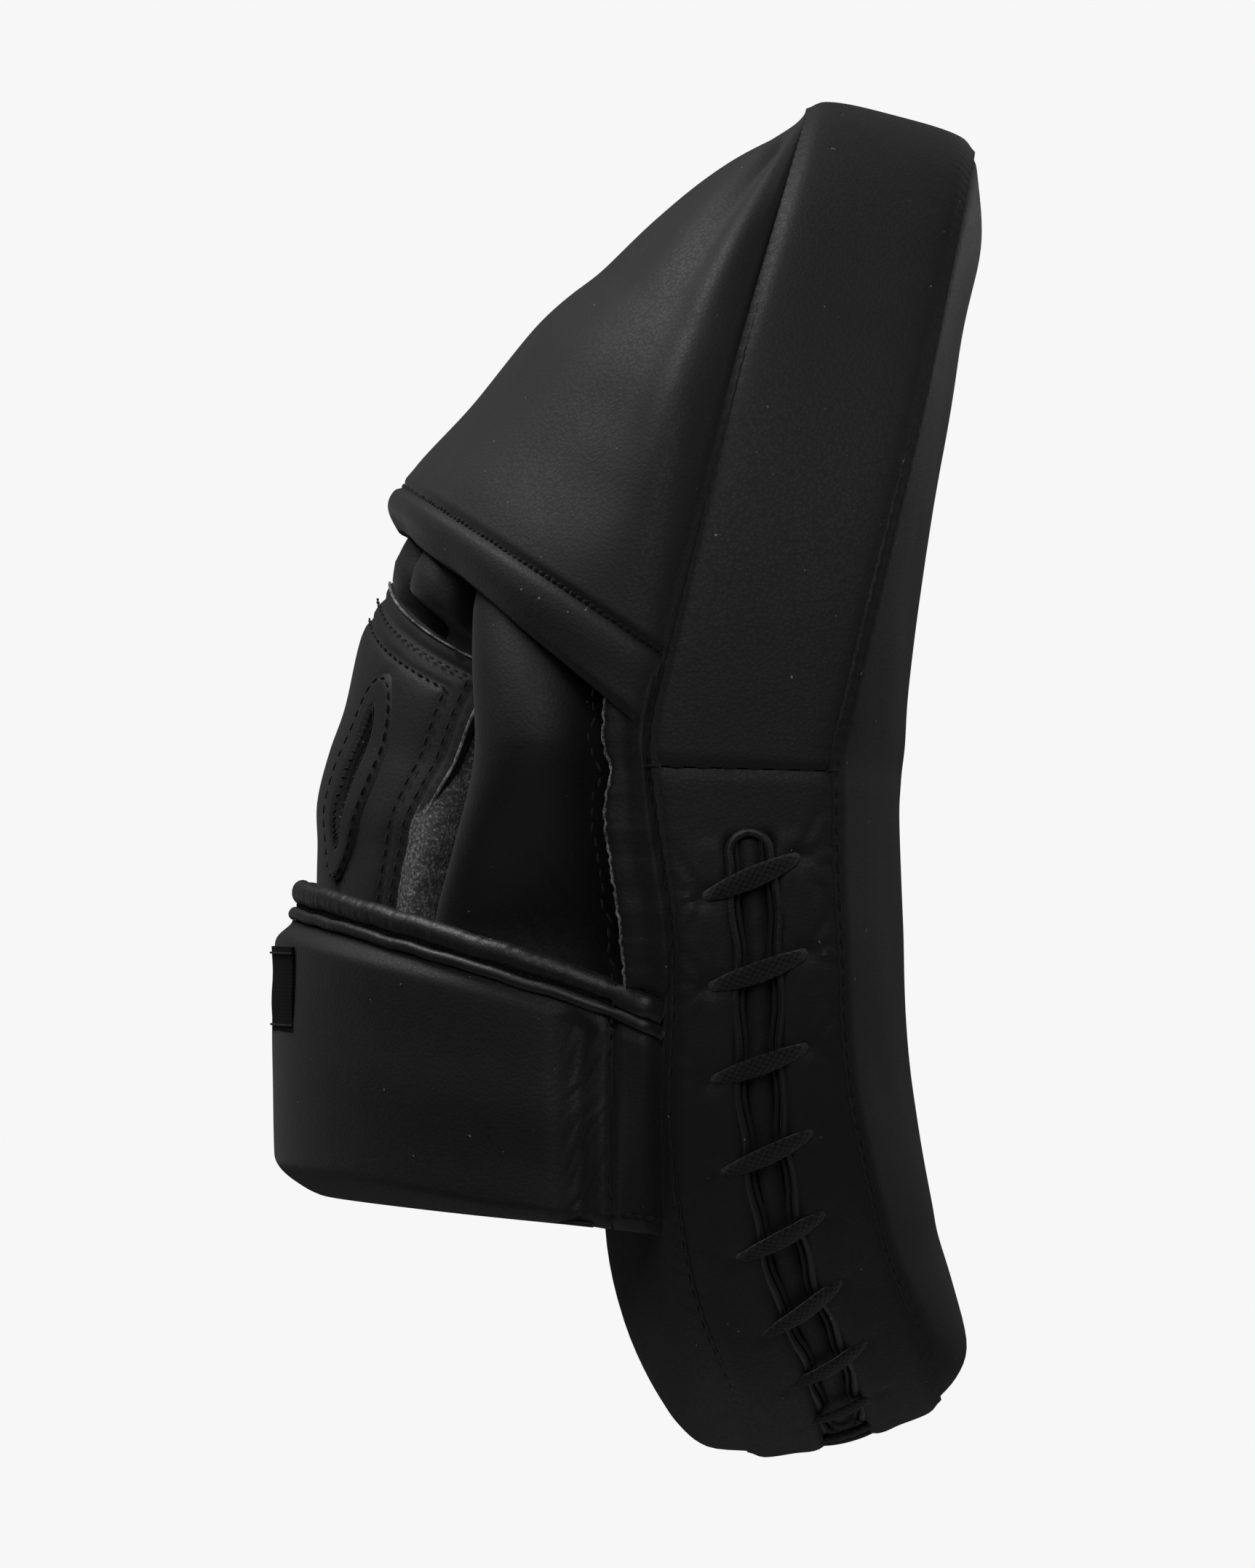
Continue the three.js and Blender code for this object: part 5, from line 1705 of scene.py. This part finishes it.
@dataclass
class Studio:
    """Camera, floor and soft light."""

    distance: float = 3.0
    view_height: float = 30.6
    frame_height: float = 301.8
    floor_height: float = -0.95
    floor_radius: float = 1.2
    focus_y: float = -50.0
    backdrop_level: float = 0.930
    room_level: float = 0.03
    target: tuple[float, float, float] = (0.0, 0.0, 0.03)
    softboxes: Sequence[Softbox] = (
        Softbox("key_left", (-0.55, 0.12, 0.98), (0.5, 0.5), 9.0),
        Softbox("rim_right", (0.22, 0.17, 0.15), (0.1, 0.1), 0.06),
        Softbox("face_fill", (1.7, -0.4, 0.7), (1.2, 1.2), 6.0),
        Softbox("front_fill", (-0.35, -2.1, 1.3), (1.6, 1.2), 28.0))

    def camera(self) -> None:
        """Sets the camera on the thumb side, level with the mitt."""
        data = bpy.data.cameras.new("camera")
        data.sensor_width = 36.0
        data.lens = data.sensor_width * self.distance / (self.frame_height * MM)
        data.clip_end = 50.0
        camera = bpy.data.objects.new("camera", data)
        camera.location = (-0.0002, self.focus_y * MM - self.distance, self.view_height * MM)
        camera.rotation_euler = (math.radians(90.0), 0.0, 0.0)
        bpy.context.scene.collection.objects.link(camera)
        bpy.context.scene.camera = camera

    def floor(self) -> None:
        """Makes a plain pale floor below the mitt."""
        shader = Shader("pale_floor")
        cloud = shader.noise(300.0, 2.0)
        material = shader.finish(
            Base_Color=shader.blend(cloud, grey(0.66), grey(0.70)), Roughness=0.9, Specular_IOR_Level=0.1)
        mesh = bpy.data.meshes.new("floor")
        body = bmesh.new()
        bmesh.ops.create_circle(body, cap_ends=True, segments=96, radius=self.floor_radius)
        body.to_mesh(mesh)
        body.free()
        mesh.materials.append(material)
        mesh.transform(Matrix.Translation((0.0, 0.0, self.floor_height)))
        new_object("floor", mesh)

    def world(self) -> None:
        """Shows a plain pale background, while the room itself gives only a weak, even light."""
        world = bpy.data.worlds.new("studio")
        world.use_nodes = True
        nodes, links = world.node_tree.nodes, world.node_tree.links
        shown = nodes["Background"]
        room = nodes.new("ShaderNodeBackground")
        ray = nodes.new("ShaderNodeLightPath")
        chosen = nodes.new("ShaderNodeMixShader")
        for background, level in ((shown, self.backdrop_level), (room, self.room_level)):
            background.inputs["Color"].default_value = (level, level, level, 1.0)
        links.new(ray.outputs["Is Camera Ray"], chosen.inputs[0])
        links.new(room.outputs[0], chosen.inputs[1])
        links.new(shown.outputs[0], chosen.inputs[2])
        links.new(chosen.outputs[0], nodes["World Output"].inputs["Surface"])
        bpy.context.scene.world = world
        bpy.context.scene.view_settings.view_transform = "Standard"

    def lights(self) -> None:
        """Hangs the softboxes, each turned towards the mitt."""
        for box in self.softboxes:
            data = bpy.data.lights.new(box.name, "AREA")
            data.shape = "RECTANGLE"
            data.size, data.size_y = box.size
            data.energy = box.power
            lamp = bpy.data.objects.new(box.name, data)
            lamp.location = box.place
            aim = Vector(self.target) - Vector(box.place)
            lamp.rotation_euler = aim.to_track_quat("-Z", "Y").to_euler()
            lamp.visible_camera = False
            bpy.context.scene.collection.objects.link(lamp)


def dress_frame(frame: dict, finishes: Finishes) -> None:
    """Gives the CAD nodes that stay, all inside the pad, their foam material."""
    for name in ("front_impact_foam", "middle_foam", "rear_foam"):
        node = frame["nodes"][name]
        for slot in node.material_slots:
            slot.material = finishes.foam


def main() -> None:
    """Builds every sub-assembly in order and reports it."""
    logging.basicConfig(level=logging.INFO, format="%(name)s %(message)s", stream=sys.stdout)
    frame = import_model()
    studio = Studio()
    studio.camera()
    studio.floor()
    studio.world()
    studio.lights()
    finishes = Finishes.make()
    stitches = StitchTree()
    form = PadForm()
    dress_frame(frame, finishes)
    pad = Pad(form, finishes, stitches)
    lacing = Lacing(form, finishes)
    pad.covers()
    pad.walls(lacing.wall_lift)
    pad.seams()
    lacing.welts()
    lacing.tongue()
    lacing.lace()
    hood = FingerHood(form, finishes, stitches)
    hood.shell()
    hood.sleeves()
    hand_back = HandBack(finishes, stitches)
    hand_back.layers()
    hand_back.rows()
    hand_back.vents()
    thumb = ThumbSleeve(form, finishes, stitches)
    thumb.sleeve()
    thumb.flange()
    palm = PalmSide(form, hand_back, finishes)
    palm.cushion()
    palm.far_wall()
    cuff = WristCuff(form, finishes, stitches)
    cuff.padding()
    cuff.core()
    cuff.rolls()
    cuff.seam_threads()
    cuff.label()
    cuff.tip()


if __name__ == "__main__":
    main()
